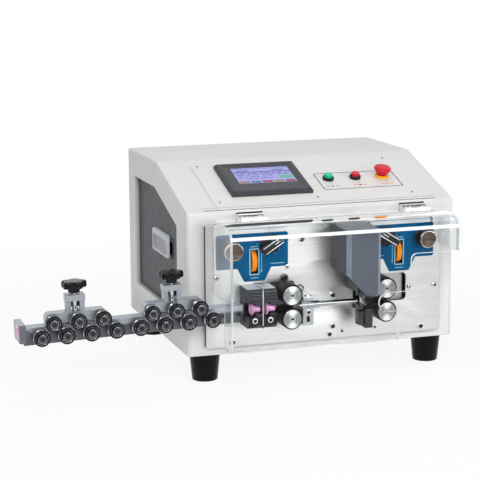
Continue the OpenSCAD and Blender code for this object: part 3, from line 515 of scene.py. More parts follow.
def glazed(name, colour):
    """Glazed ceramic."""
    material, shader = finish_base(name, colour, 0.18)
    if shader:
        tint(shader, noise(shader, 160, 3), shade(colour, 0.94), shade(colour, 1.05))
        spread(shader, noise(shader, 300, 2), 0.14, 0.24, "Roughness")
        shader.inputs["Subsurface Weight"].default_value = 0.15
        shader.inputs["Subsurface Radius"].default_value = (0.002, 0.0012, 0.001)
        shader.inputs["Coat Weight"].default_value = 0.5
    return material


def clear_sheet(name, colour, roughness=0.0, index=1.49, through=1.0):
    """Clear acrylic; faces with a lower index mirror less, and through is the share of clear light."""
    material, shader = finish_base(name, colour, roughness)
    if shader:
        shader.inputs["Transmission Weight"].default_value = through
        shader.inputs["IOR"].default_value = index
    return material


def lit(name, colour, strength=1.0):
    """Pixel block of a lit screen, with faint lines."""
    material, shader = finish_base(name, shade(colour, 0.4), 0.25)
    if shader:
        tint(shader, noise(shader, 1.0, 2, (60, 2400, 60)), shade(colour, 0.35), shade(colour, 0.45))
        shader.inputs["Emission Color"].default_value = (*colour, 1)
        shader.inputs["Emission Strength"].default_value = strength
    return material


def printed(name, colour):
    """Screen printed ink."""
    material, shader = finish_base(name, colour, 0.5)
    if shader:
        tint(shader, noise(shader, 400, 3), shade(colour, 0.92), shade(colour, 1.06))
        relief(shader, noise(shader, 3000, 2), 0.05, 0.0001)
    return material


# Finishes that several pieces share

def socket_shade():
    """Dark floor of a socket or a gap."""
    return powder_coat("socket shade", (0.012, 0.012, 0.013), 0.6)


def black_oxide():
    """Steel of dark screws."""
    return plated("black oxide", (0.13, 0.13, 0.135), 0.2)


def bright_screw():
    """Steel of bright screws."""
    return plated("bright screw", (0.72, 0.72, 0.73), 0.16)


def shaft_steel():
    """Steel of shafts and their nuts."""
    return plated("shaft steel", (0.5, 0.5, 0.51), 0.25)


def black_plastic():
    """Plastic of collars, inlet and switch."""
    return plastic("black plastic", (0.018, 0.018, 0.02), 0.28)


def guide_black():
    """Plastic of the guide blocks and their ribs."""
    return plastic("guide black", (0.034, 0.036, 0.043), 0.36, 0.08)


def panel_film(look):
    """Film on the control panel and its seam strip."""
    return powder_coat("panel film", look.panel_film, 0.36)


# Settings that a user may change

def paint_colour(label, default):
    """Colour that a user may change."""
    return FloatVectorProperty(name=label, description=label, subtype="COLOR", size=3, min=0, max=1,
                               default=default)


def length(label, default, low, high):
    """Length in millimetres that a user may change."""
    return FloatProperty(name=label, description=label + ", in millimetres", default=default,
                         min=low, max=high)


def amount(label, text, default, high):
    """Number from zero up that a user may change."""
    return FloatProperty(name=label, description=text, default=default, min=0.0, max=high)


class WireMachineCabinet(PropertyGroup):
    """Sizes and colours of the cabinet."""
    paint: paint_colour("Cabinet paint", (0.735, 0.735, 0.725))
    side_paint: paint_colour("Side panel paint", (0.058, 0.063, 0.073))
    handle_metal: paint_colour("Handle metal", (0.56, 0.58, 0.61))
    foot_colour: paint_colour("Foot rubber", (0.002, 0.0024, 0.004))
    bend: length("Bend radius", 5.0, 2.0, 8.0)
    sheet: length("Sheet thickness", 2.0, 1.0, 2.4)


class WireMachineControls(PropertyGroup):
    """Sizes and colours of the control panel."""
    panel_film: paint_colour("Panel film", (0.745, 0.745, 0.735))
    screen_frame: paint_colour("Screen frame", (0.050, 0.052, 0.062))
    screen_light: paint_colour("Screen background", (0.33, 0.335, 0.80))
    start: paint_colour("Start button", (0.006, 0.58, 0.32))
    stop: paint_colour("Stop button", (0.66, 0.012, 0.03))
    collar: paint_colour("Emergency collar", (0.93, 0.45, 0.01))
    screen_glow: amount("Screen glow", "Light of the screen", 0.6, 2.0)


class WireMachinePlate(PropertyGroup):
    """Colours of the face plate and what stands on it."""
    steel: paint_colour("Plate steel", (0.74, 0.735, 0.725))
    film: paint_colour("Adjuster film", (0.001, 0.092, 0.225))
    wheel: paint_colour("Gap wheel", (0.95, 0.29, 0.012))
    knob: paint_colour("Lift knob", (0.135, 0.105, 0.085))
    hood: paint_colour("Cutter cover paint", (0.082, 0.096, 0.118))
    ceramic: paint_colour("Eyelet ceramic", (0.78, 0.37, 0.66))
    knob_edge: length("Knob edge radius", 1.2, 0.2, 2.0)


class WireMachineCover(PropertyGroup):
    """Sizes and colours of the clear cover."""
    sheet_colour: paint_colour("Clear sheet", (0.97, 0.985, 0.99))
    edge_colour: paint_colour("Sheet edge", (0.90, 0.93, 0.94))
    sheet: length("Sheet thickness", 4.0, 3.0, 6.0)
    bend: length("Bend radius", 20.0, 14.0, 24.0)


class WireMachineStraightener(PropertyGroup):
    """Sizes and colours of the straightener."""
    metal: paint_colour("Bar metal", (0.43, 0.46, 0.505))
    ring: paint_colour("Roller steel", (0.50, 0.51, 0.53))
    knob: paint_colour("Star knob", (0.004, 0.004, 0.005))
    lobes: IntProperty(name="Star lobes", description="Lobes of a star knob", default=5, min=3,
                       max=8)


class WireMachineStage(PropertyGroup):
    """Light and floor."""
    floor: paint_colour("Floor", (0.93, 0.93, 0.93))
    key: amount("Key light", "Power of the front lamp, in watts", 24.0, 200.0)
    top: amount("Top light", "Power of the lamp overhead, in watts", 6.0, 200.0)
    wide: amount("Wide light", "Power of the wide front lamp, in watts", 11.0, 200.0)
    strip: amount("Strip light", "Power of the tall lamp, in watts", 5.0, 200.0)
    sky: amount("Sky", "Light from all round", 0.43, 2.0)
    front: amount("Front sky", "Brightness of the room that metal mirrors from the front", 0.25, 2.0)


# Sizes that several pieces share, in millimetres
PANEL_W, PANEL_L, PANEL_T = 323.0, 140.0, 1.5
PANEL_X = (CAB_W - PANEL_W) / 2
PANEL_S = (SLOPE_L - PANEL_L) / 2 - 2
BUTTON_S = PANEL_S + 67
BUTTON_X = [CAB_W / 2 + 37.5 + 44 * i for i in range(3)]
SCREEN_X, SCREEN_S = CAB_W / 2 - 65, PANEL_S + 75
SCREEN_W, SCREEN_L = 128.0, 102.0
ADJUSTER_X = [MID_X - 114.5, MID_X + 114.5]
ADJUSTER_Z = 137.0
PRESSURE_DX, PRESSURE_DZ = 23.0, 26.0
LIFT_DX, LIFT_DZ = 37.0, 21.0
SIDES = ["left", "right"]
OUTWARD = [-1, 1]
ROLLER_X = [MID_X - 70.2, MID_X + 78]
LOWER_Z, UPPER_Z = WIRE_Z - 17.5, WIRE_Z + 17.5
SILL, LINTEL, FRONT_POST, BACK_POST = 49.0, CAB_H - 41, 57.0, CAB_D - 38
UNDER_SLOPE = FRONT_H - 45
WINDOW = [(FRONT_POST, SILL), (BACK_POST, SILL), (BACK_POST, LINTEL),
          ((LINTEL - UNDER_SLOPE) / math.tan(SLOPE_ANGLE), LINTEL),
          (FRONT_POST, UNDER_SLOPE + FRONT_POST * math.tan(SLOPE_ANGLE))]
HINGE_X = [CAB_W / 2 - 136, CAB_W / 2 + 120]
HINGE_W = 40.0
SHAFT_R, SHAFT_END = 4.0, -13.2
SHAFT_NUT = [(SHAFT_R, SHAFT_END), (7, SHAFT_END), (7, -9.3), (SHAFT_R, -9.3)]
UNIT_X = [-245.6, -104.1]
UNIT_ROLLERS, ROLLER_PITCH, ROW_Z = 7, 35.4, 9.3
BAR_T = 20.0


def screw_head(piece, at, radius, height, finish, hollow, socket=0.55):
    """Cap screw with a rounded rim and a six-sided socket."""
    rim = radius * 0.16
    mouth = radius * socket * 1.12
    piece.add(lathe([(radius, 0), (radius, height - rim), (radius - rim * 0.3, height - rim * 0.3),
                     (radius - rim, height), (mouth, height)], 28), finish, at=at)
    on_flat = 4
    hexagon = [Vector(corner) for corner in circle(0, 0, mouth, 6)]
    ring = [(x, y, height) for x, y in circle(0, 0, mouth, 6 * on_flat)]
    flats = []
    for k in range(6 * on_flat):
        corner, step = divmod(k, on_flat)
        p = hexagon[corner].lerp(hexagon[(corner + 1) % 6], step / on_flat)
        flats.append((p.x * 0.97, p.y * 0.97, height - 0.1))
    floor = [(x, y, height * 0.45) for x, y, _ in flats]
    piece.add(loft([ring, flats, floor]), hollow, at=at)


def mark(outline, holes=(), depth=0.1):
    """Thin layer of print."""
    return plate(outline, holes, depth, depth / 5, 1)


class WIREMACHINE_OT_cabinet(Operator):
    """Fold the cabinet out of sheet and finish its back and its floor"""
    bl_idname = "wiremachine.cabinet"
    bl_label = "Cabinet"

    def execute(self, context):
        look = context.scene.wire_machine_cabinet
        paint = powder_coat("cabinet paint", look.paint)
        self.fold(look, paint)
        soften("rear_panel", paint, 0.3)
        soften("base_tray", brushed("zinc sheet", (0.5, 0.51, 0.52), 0.4), 0.3)
        soften("mains_inlet", black_plastic(), 0.3)
        soften("power_switch", black_plastic(), 0.5)
        soften("control_electronics", plastic("board lacquer", (0.02, 0.15, 0.07), 0.35), 0.3)
        soften("drive_motors", powder_coat("motor black", (0.022, 0.022, 0.024), 0.4), 0.6)
        return {"FINISHED"}

    def fold(self, look, paint):
        """Shell of one sheet, with bends, welded corners and four windows."""
        bm = bmesh.new()
        weight = bm.edges.layers.float.new("bevel_weight_edge")
        profile = [(0, 0), (CAB_D, 0), (CAB_D, CAB_H), (SLOPE_RUN, CAB_H), (0, FRONT_H)]
        flange = 8.0
        sides = []
        for x, inward in ((0, 1), (CAB_W, -1)):
            outer = [bm.verts.new((x, y, z)) for y, z in profile]
            rim = [bm.verts.new((x, y, z)) for y, z in WINDOW]
            deep = [bm.verts.new((x + inward * flange, y, z)) for y, z in WINDOW]
            for k in range(5):
                n = (k + 1) % 5
                bm.faces.new((outer[k], outer[n], rim[n], rim[k]))
                bm.faces.new((rim[k], rim[n], deep[n], deep[k]))
            sides.append((outer, rim))
        a, b = sides[0][0], sides[1][0]
        bm.faces.new((a[4], a[3], b[3], b[4]))
        bm.faces.new((a[3], a[2], b[2], b[3]))
        self.pierced(bm, (a[0], b[0], b[4], a[4]), 0, (37, 24, CAB_W - 37, 182))
        self.pierced(bm, (a[1], b[1], b[2], a[2]), CAB_D, (20, 20, CAB_W - 20, CAB_H - 20))
        bmesh.ops.recalc_face_normals(bm, faces=bm.faces[:])
        for edge in bm.edges:
            if len(edge.link_faces) == 2 and edge.calc_face_angle() > math.radians(10):
                edge[weight] = self.softness(edge, sides)
        bm.transform(MACHINE)
        mesh = bpy.data.meshes.new("cabinet")
        bm.to_mesh(mesh)
        bm.free()
        mesh.materials.append(paint)
        mesh.polygons.foreach_set("use_smooth", [True] * len(mesh.polygons))
        obj = placed("cabinet", mesh)
        bevel = obj.modifiers.new("Bends", "BEVEL")
        bevel.width = look.bend * MM
        bevel.segments = 5
        bevel.limit_method = "WEIGHT"
        bevel.harden_normals = True
        wall = obj.modifiers.new("Sheet", "SOLIDIFY")
        wall.thickness = look.sheet * MM
        wall.offset = -1
        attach(obj, "machine")
        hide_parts("cabinet_shell")

    def softness(self, edge, sides):
        """Share of the bend radius: all of it at bends, little at welds and window rims."""
        a, b = edge.verts
        if any(v in rim for _, rim in sides for v in edge.verts):
            return 0.2
        return 1.0 if abs(a.co.y - b.co.y) < 0.1 else 0.35

    def pierced(self, bm, corners, y, window):
        """Wall between four corners with a window in it."""
        x0, z0, x1, z1 = window
        hole = [bm.verts.new((x, y, z)) for x, z in ((x0, z0), (x1, z0), (x1, z1), (x0, z1))]
        for k in range(4):
            n = (k + 1) % 4
            bm.faces.new((corners[k], corners[n], hole[n], hole[k]))


class WIREMACHINE_OT_sides(Operator):
    """Finish the side panels, the carrying handles and the rubber feet"""
    bl_idname = "wiremachine.sides"
    bl_label = "Sides and Feet"

    def execute(self, context):
        look = context.scene.wire_machine_cabinet
        soften("side_panels", powder_coat("side panel paint", look.side_paint, 0.5), 0.3)
        metal = powder_coat("handle metal", look.handle_metal, 0.34)
        # Painted shade: darker copies of the handle metal for the lid's dish and for the cup and its lip.
        dish_shade = powder_coat("handle dish painted shade", shade(look.handle_metal, 0.62), 0.38)
        dark = powder_coat("handle cup painted shade", shade(look.handle_metal, 0.02), 0.5)
        handle = Piece("carry_handle_pair", "machine", "handle_metal", ["carry_handles"])
        for side in (0, 1):
            self.handle(handle, side, metal, dish_shade, dark)
        handle.build()
        feet = Piece("foot_set", "machine", "foot_rubber", ["rubber_feet"])
        skin = rubber("foot rubber", look.foot_colour)
        steel = plated("foot screw", (0.5, 0.5, 0.51), 0.25)
        h = FOOT_H
        shape = [(7, 12), (7, 1), (6.4, 0.3), (8, 0), (17.6, 0), (18.6, 0.5), (19, 1.4),
                 (22.6, h - 4), (23, h - 2), (22.6, h - 0.6), (21.6, h), (0, h)]
        for x in (32, CAB_W - 32):
            for y in (24, CAB_D - 24):
                feet.add(lathe(shape, 48), skin, at=move(x, y, -h))
                feet.add(lathe([(0, 10), (5.5, 10), (5.5, 13), (0, 13)], 24), steel,
                         at=move(x, y, -h))
        feet.build()
        return {"FINISHED"}

    def handle(self, piece, side, metal, dish_shade, dark):
        """Dished lid that covers a finger cup, with the open slot at its front end; the dish and the cup
        take darker copies of the handle metal as painted shade, and the lip shares the cup's finish.
        """
        low, high = span("carry_handles")
        slot, out, wall = 16.0, 5.0, 2.0
        y0, z0, y1, z1 = low.y + wall + slot, low.z, high.y, high.z
        rim, brow, panel = 4.5, 9.0, 8.0
        at = ALONG_X
        if side:
            at = move(CAB_W, 0, 0) @ Matrix.Diagonal((-1, 1, 1, 1)) @ ALONG_X
        face = panel - out
        rings = []
        for inset, x, r in ((0, panel, 5), (0, face + 2.2, 5), (0.5, face + 0.8, 4.6),
                            (1.6, face, 4.0)):
            rings.append((y0 + inset, z0 + inset, y1 - inset, z1 - inset, r, x))
        for inset, x, r in ((0, face, 4.2), (0.7, face + 0.5, 4), (2.4, face + 2.6, 3), (4, face + 3, 2)):
            rings.append((y0 + rim + inset, z0 + rim + inset, y1 - rim - inset, z1 - brow - inset, r, x))
        lid = loft([[(y, z, x) for y, z in rectangle(a, b, c, d, r, 6)]
                    for a, b, c, d, r, x in rings], tags=[1, 1, 1, 1, 0, 0, 0])
        piece.add(lid, dish_shade, metal, at=at)
        inner = 8.0
        cup = [[(y, z, x) for y, z in rectangle(low.y + wall, z0 + inner, y0 + 24, z1 - inner, 2, 4)]
               for x in (panel - 0.2, panel + 16, panel + 18)]
        skin = loft(cup)
        bmesh.ops.reverse_faces(skin, faces=skin.faces[:])
        piece.add(skin, dark, at=at)
        lip = plate(rectangle(low.y - 1.5, z0 + 1, y0 + 2, z1 - 1, [9, 0, 0, 9], 5),
                    [rectangle(low.y + wall, z0 + inner, y0 + 4, z1 - inner, 2, 5)], 0.8, 0.2, 1)
        piece.add(lip, dark, at=at @ move(0, 0, panel - 0.7))


class WIREMACHINE_OT_panel(Operator):
    """Dress the control panel on the slope with its frame line, marks and seam"""
    bl_idname = "wiremachine.panel"
    bl_label = "Control Panel"

    def execute(self, context):
        look = context.scene.wire_machine_controls
        soften("control_panel", panel_film(look), 0.3)
        ink = printed("frame ink", (0.02, 0.02, 0.085))
        print_marks = Piece("panel_print", "machine", "panel_paint")
        top = SLOPE @ move(0, 0, PANEL_T - 0.05)
        x0, s0, x1, s1 = 229.5, 49.0, 358.5, 105.0
        line, depth = 1.5, 0.15
        inside = rectangle(x0 + line, s0 + line, x1 - line, s1 - line, 3, 6)
        print_marks.add(mark(rectangle(x0, s0, x1, s1, 4, 6), [inside], depth), ink, at=top)
        green = printed("start ink", (0.02, 0.30, 0.10))
        red = printed("stop ink", (0.62, 0.06, 0.02))
        ring = circle(0, 0, 3.1, 28)
        signs = [(green, [(-2.2, -2.6), (2.6, 0.0), (-2.2, 2.6)], ()),
                 (red, rectangle(-2.4, -2.4, 2.4, 2.4, 0.4), ()),
                 (red, ring, [circle(0, 0, 2.2, 28)])]
        sign_s, dot_s, apart = 60.0, 67.5, 7.5
        for x, (colour, outline, holes) in zip(BUTTON_X, signs):
            at = top @ move(x, sign_s, 0)
            print_marks.add(mark(outline, holes, depth), colour, at=at)
            for step in (-apart, apart):
                bar = rectangle(step - 3, -0.7, step + 3, 0.7, 0.5)
                print_marks.add(mark(bar, (), depth), colour, at=at)
            print_marks.add(mark(circle(0, 0, 0.8, 12), (), depth), ink, at=top @ move(x, dot_s, 0))
        print_marks.build()
        self.seam(look)
        return {"FINISHED"}

    def seam(self, look):
        """Trim strip along the front edge of the slope, between two metal lines."""
        seam = Piece("slope_seam", "machine", "cabinet_paint")
        metal = plated("seam metal", (0.20, 0.26, 0.285), 0.4)
        inset, lower, strip, upper = 28.0, 4.6, 5.6, 11.2
        seam.add(block((inset, strip, 0), (CAB_W - inset, upper, 0.9), 0.35), panel_film(look), at=SLOPE)
        for s in (lower, upper):
            seam.add(block((inset, s, 0), (CAB_W - inset, s + 1.3, 0.6), 0.2), metal, at=SLOPE)
        seam.build()


class WIREMACHINE_OT_screen(Operator):
    """Model the touch screen with its bevelled frame and a plain set of lit blocks"""
    bl_idname = "wiremachine.screen"
    bl_label = "Touch Screen"

    def execute(self, context):
        look = context.scene.wire_machine_controls
        frame_skin = plastic("screen frame", look.screen_frame, 0.42, 0.1)
        glass = plastic("screen glass", (0.03, 0.032, 0.05), 0.1, 0.0)
        screen = Piece("operator_screen", "machine", "screen_plastic", ["touch_screen"])
        at = SLOPE @ move(SCREEN_X, SCREEN_S, PANEL_T)
        w, l = SCREEN_W / 2, SCREEN_L / 2
        vx0, vy0, vx1, vy1 = -43.0, -20.0, 48.0, 32.0
        steps = [(0, 0, 2.5), (0, 3.4, 2.5), (0.4, 4.2, 2.4), (2.6, 6.7, 2), (3.4, 7.0, 1.8),
                 (10.5, 7.0, 1.5), (11.0, 6.7, 1.5)]
        rings = [[(x, y, h) for x, y in rectangle(-w + i, -l + i, w - i, l - i, r, 4)]
                 for i, h, r in steps]
        for inset, h in ((-3.0, 6.6), (0.0, 6.0)):
            rings.append([(x, y, h) for x, y in rectangle(vx0 + inset, vy0 + inset, vx1 - inset,
                                                          vy1 - inset, 1.0, 4)])
        screen.add(loft(rings), frame_skin, at=at)
        screen.add(block((-w + 5, -l + 5, -26), (w - 5, l - 5, 0.5), 1.0), frame_skin, at=at)
        self.blocks(screen, look, at @ move(0, 0, 6.02), (vx0, vy0, vx1, vy1))
        screen.add(plate(rectangle(vx0, vy0, vx1, vy1), (), 0.05, 0.0, 0), glass,
                   at=at @ move(0, 0, 5.9))
        screen.build()
        return {"FINISHED"}

    def blocks(self, screen, look, at, view):
        """Coloured fields of the picture, as shares of the view."""
        x0, y0, x1, y1 = view
        glow = look.screen_glow
        ground = tuple(look.screen_light)
        navy, dim = (0.03, 0.03, 0.28), (0.055, 0.055, 0.20)
        fields = [
            (0.0, 0.0, 1.0, 1.0, ground, 0),
            (0.0, 0.88, 1.0, 1.0, shade(ground, 0.80), 1),
            (0.08, 0.80, 0.28, 0.85, dim, 1),
            (0.70, 0.80, 0.90, 0.85, dim, 1),
            (0.0, 0.70, 1.0, 0.755, navy, 1),
            (0.0, 0.575, 1.0, 0.60, shade(ground, 0.55), 1),
            (0.0, 0.415, 1.0, 0.43, shade(ground, 0.6), 1),
            (0.76, 0.24, 0.98, 0.42, (0.06, 0.40, 0.20), 2)]
        tiles = [(0.24, 0.15, 0.09), (0.015, 0.17, 0.24), (0.28, 0.008, 0.03), (0.21, 0.20, 0.02),
                 (0.30, 0.008, 0.03)]
        for k, colour in enumerate(tiles):
            fields.append((0.01 + 0.2 * k, 0.015, 0.185 + 0.2 * k, 0.15, colour, 1))
        for row in range(4):
            left = 0.04
            right = 0.72 if row > 1 else 0.97
            low, high = 0.625 - 0.115 * row, 0.665 - 0.115 * row
            for word in range(9):
                width = 0.045 + 0.025 * ((3 * row + 2 * word) % 4)
                if left + width < right:
                    fields.append((left, low, left + width, high, dim, 1))
                left += width + 0.022 + 0.03 * ((row + word) % 2)
        for a, b, c, d, colour, level in fields:
            name = "screen light %02d %02d %02d" % tuple(int(99 * v) for v in colour)
            screen.add(plate(rectangle(x0 + a * (x1 - x0), y0 + b * (y1 - y0), x0 + c * (x1 - x0),
                                       y0 + d * (y1 - y0)), (), 0.02, 0.0, 0),
                       lit(name, colour, glow), at=at @ move(0, 0, 0.03 * level))


class WIREMACHINE_OT_buttons(Operator):
    """Turn the push buttons, their collars and the emergency stop"""
    bl_idname = "wiremachine.buttons"
    bl_label = "Buttons"

    def execute(self, context):
        look = context.scene.wire_machine_controls
        black = black_plastic()
        yellow = plastic("collar yellow", look.collar, 0.3)
        green = plastic("start plastic", look.start, 0.18)
        red = plastic("stop plastic", look.stop, 0.18)
        collars = Piece("button_collar_set", "machine", "black_plastic", ["button_collars"])
        shape = [(6.28, -10), (6.28, 3.6), (6.7, 4.7), (7.4, 5.0), (8.2, 4.6), (8.7, 3.8), (8.7, 0),
                 (7.8, 0), (7.8, -22), (0, -22)]
        for i in (0, 1):
            collars.add(lathe(shape, 40), black, at=self.seat(i))
        collars.add(lathe([(7.1, -10), (7.1, 3.0), (7.5, 3.5), (9.8, 3.5), (10.3, 3.1), (10.5, 2.4),
                           (10.5, 0), (7.8, 0), (7.8, -22), (0, -22)], 48,
                          [1, 1, 0, 0, 0, 0, 0, 1, 1]), yellow, black, at=self.seat(2))
        collars.build()
        cap = [(0, -8), (6.1, -8), (6.2, 8.0), (6.0, 8.6), (5.5, 8.95), (5.0, 9.0), (4.6, 8.85), (0, 8.8)]
        for i, (node, slot, finish) in enumerate((("start_button", "green_plastic", green),
                                                  ("stop_button", "red_plastic", red))):
            Piece(node + "_cap", node, slot, [node]).add(lathe(cap, 40), finish,
                                                         at=self.seat(i)).build()
        head = [(0, -7), (7, -7), (7, 7), (9.3, 7), (10.2, 7.5), (11.0, 8.8), (12.9, 12.4), (13.4, 13.7),
                (13.3, 14.6), (12.7, 15.3), (11.4, 15.8), (9.2, 16.1), (8.9, 15.9), (8.5, 15.9),
                (8.2, 16.2), (0, 16.5)]
        stop = Piece("emergency_stop_head", "emergency_stop", "red_plastic", ["emergency_stop"])
        stop.add(lathe(head, 56), red, at=self.seat(2))
        stop.build()
        return {"FINISHED"}

    def seat(self, i):
        """Frame on the panel under a button."""
        return SLOPE @ move(BUTTON_X[i], BUTTON_S, PANEL_T)


class WIREMACHINE_OT_face_plate(Operator):
    """Cut the brushed face plate and set its screws"""
    bl_idname = "wiremachine.face_plate"
    bl_label = "Face Plate"

    def execute(self, context):
        look = context.scene.wire_machine_plate
        steel = brushed("plate steel", look.steel, 0.38, (5, 800, 800), 0.25, 0.05, 0.6)
        # Painted shade: the plate's side faces take a much darker copy of the steel; the top edge keeps
        # the steel.
        rim = brushed("plate rim painted shade", shade(look.steel, 0.09), 0.4)
        sheet = Piece("front_plate", "machine", "brushed_plate", ["face_plate"])
        holes = []
        for i in (0, 1):
            x, out = ROLLER_X[i], OUTWARD[i]
            a, b = sorted((x - out * 18, x + out * 48))
            holes.append(rectangle(a, UPPER_Z - 29, b, UPPER_Z + 13, 6))
            holes.append(circle(x, LOWER_Z, 5.05))
            holes.append(rectangle(ADJUSTER_X[i] - 5.5, ADJUSTER_Z - 17.5, ADJUSTER_X[i] + 5.5,
                                   ADJUSTER_Z + 17.5))
        slot_x = MID_X + 40.6
        holes.append(rectangle(slot_x, WIRE_Z - 19, slot_x + 11, WIRE_Z + 67, 3))
        wide, low, top = 370.0, 12.0, 194.0
        left = (CAB_W - wide) / 2
        bm = plate(rectangle(left, low, left + wide, top, 3), holes, -FACE_Y, 0.5, 2)
        for face in bm.faces:
            upper = face.normal.y > 0.5 and face.calc_center_median().y > top - 4
            face.material_index = 0 if abs(face.normal.z) > 0.6 or upper else 1
        sheet.add(bm, steel, rim, at=forward(0, 0, 0))
        sheet.build()
        self.screws()
        dark = powder_coat("bracket black", (0.03, 0.03, 0.032), 0.45)
        soften("wheel_brackets", dark, 0.3)
        for side in SIDES:
            soften(side + "_carriage", brushed("carriage steel", (0.45, 0.45, 0.46), 0.35), 0.4)
        return {"FINISHED"}

    def screws(self):
        """Screws and stop nuts of the plate, the guide blocks, the bar and the panel."""
        black = black_oxide()
        hollow = socket_shade()
        bright = bright_screw()
        screws = Piece("screw_set", "machine", "dark_steel", ["machine_screws"])
        for x, z in ((-42, 166), (7.5, 78.5), (8, 31), (3, 19), (151, 20), (-148.4, 19)):
            screw_head(screws, forward(MID_X + x, FACE_Y, z), 4.6, 2.6, bright, hollow, 0.62)
        for x, z in ((23.5, 22), (76.5, 23.8)):
            screw_head(screws, forward(MID_X + x, FACE_Y, z), 2.0, 1.0, black, hollow, 0.6)
        for x, z in ((132.5, 82.5), (173, 83), (-170, 117)):
            screws.add(lathe([(4.6, 0), (4.6, 0.6), (4.2, 1.8), (3.2, 2.7), (2.2, 3.0)], 28), bright,
                       at=forward(MID_X + x, FACE_Y, z))
            screws.add(lathe([(2.2, 3.0), (1.9, 1.8), (0, 1.7)], 6), hollow,
                       at=forward(MID_X + x, FACE_Y, z))
        for x, z in ((-68.5, 111), (-44, 93)):
            screw_head(screws, forward(MID_X + x, FACE_Y, z), 5.5, 5.0, black,
                       hollow if x < -60 else bright, 0.6)
        screw_head(screws, forward(MID_X - 64, FACE_Y, 126.5), 3.6, 2.0, bright, hollow, 0.4)
        for i in (0, 1):
            screw_head(screws, forward(GUIDE_X + 9 + 23.5 * i, FACE_Y - 42, WIRE_Z - 15.5), 4.3, 2.6,
                       bright, hollow)
        for x in (-8, -33):
            screw_head(screws, BAR @ forward(x, FACE_Y - BAR_T, -8), 4.0, 2.5, black, hollow)
        for x in (PANEL_X + 9, CAB_W / 2, CAB_W - PANEL_X - 9):
            for s in (PANEL_S + 9, PANEL_S + PANEL_L - 9):
                screw_head(screws, SLOPE @ move(x, s, PANEL_T), 2.6, 1.2, bright, hollow, 0.5)
        screws.build()


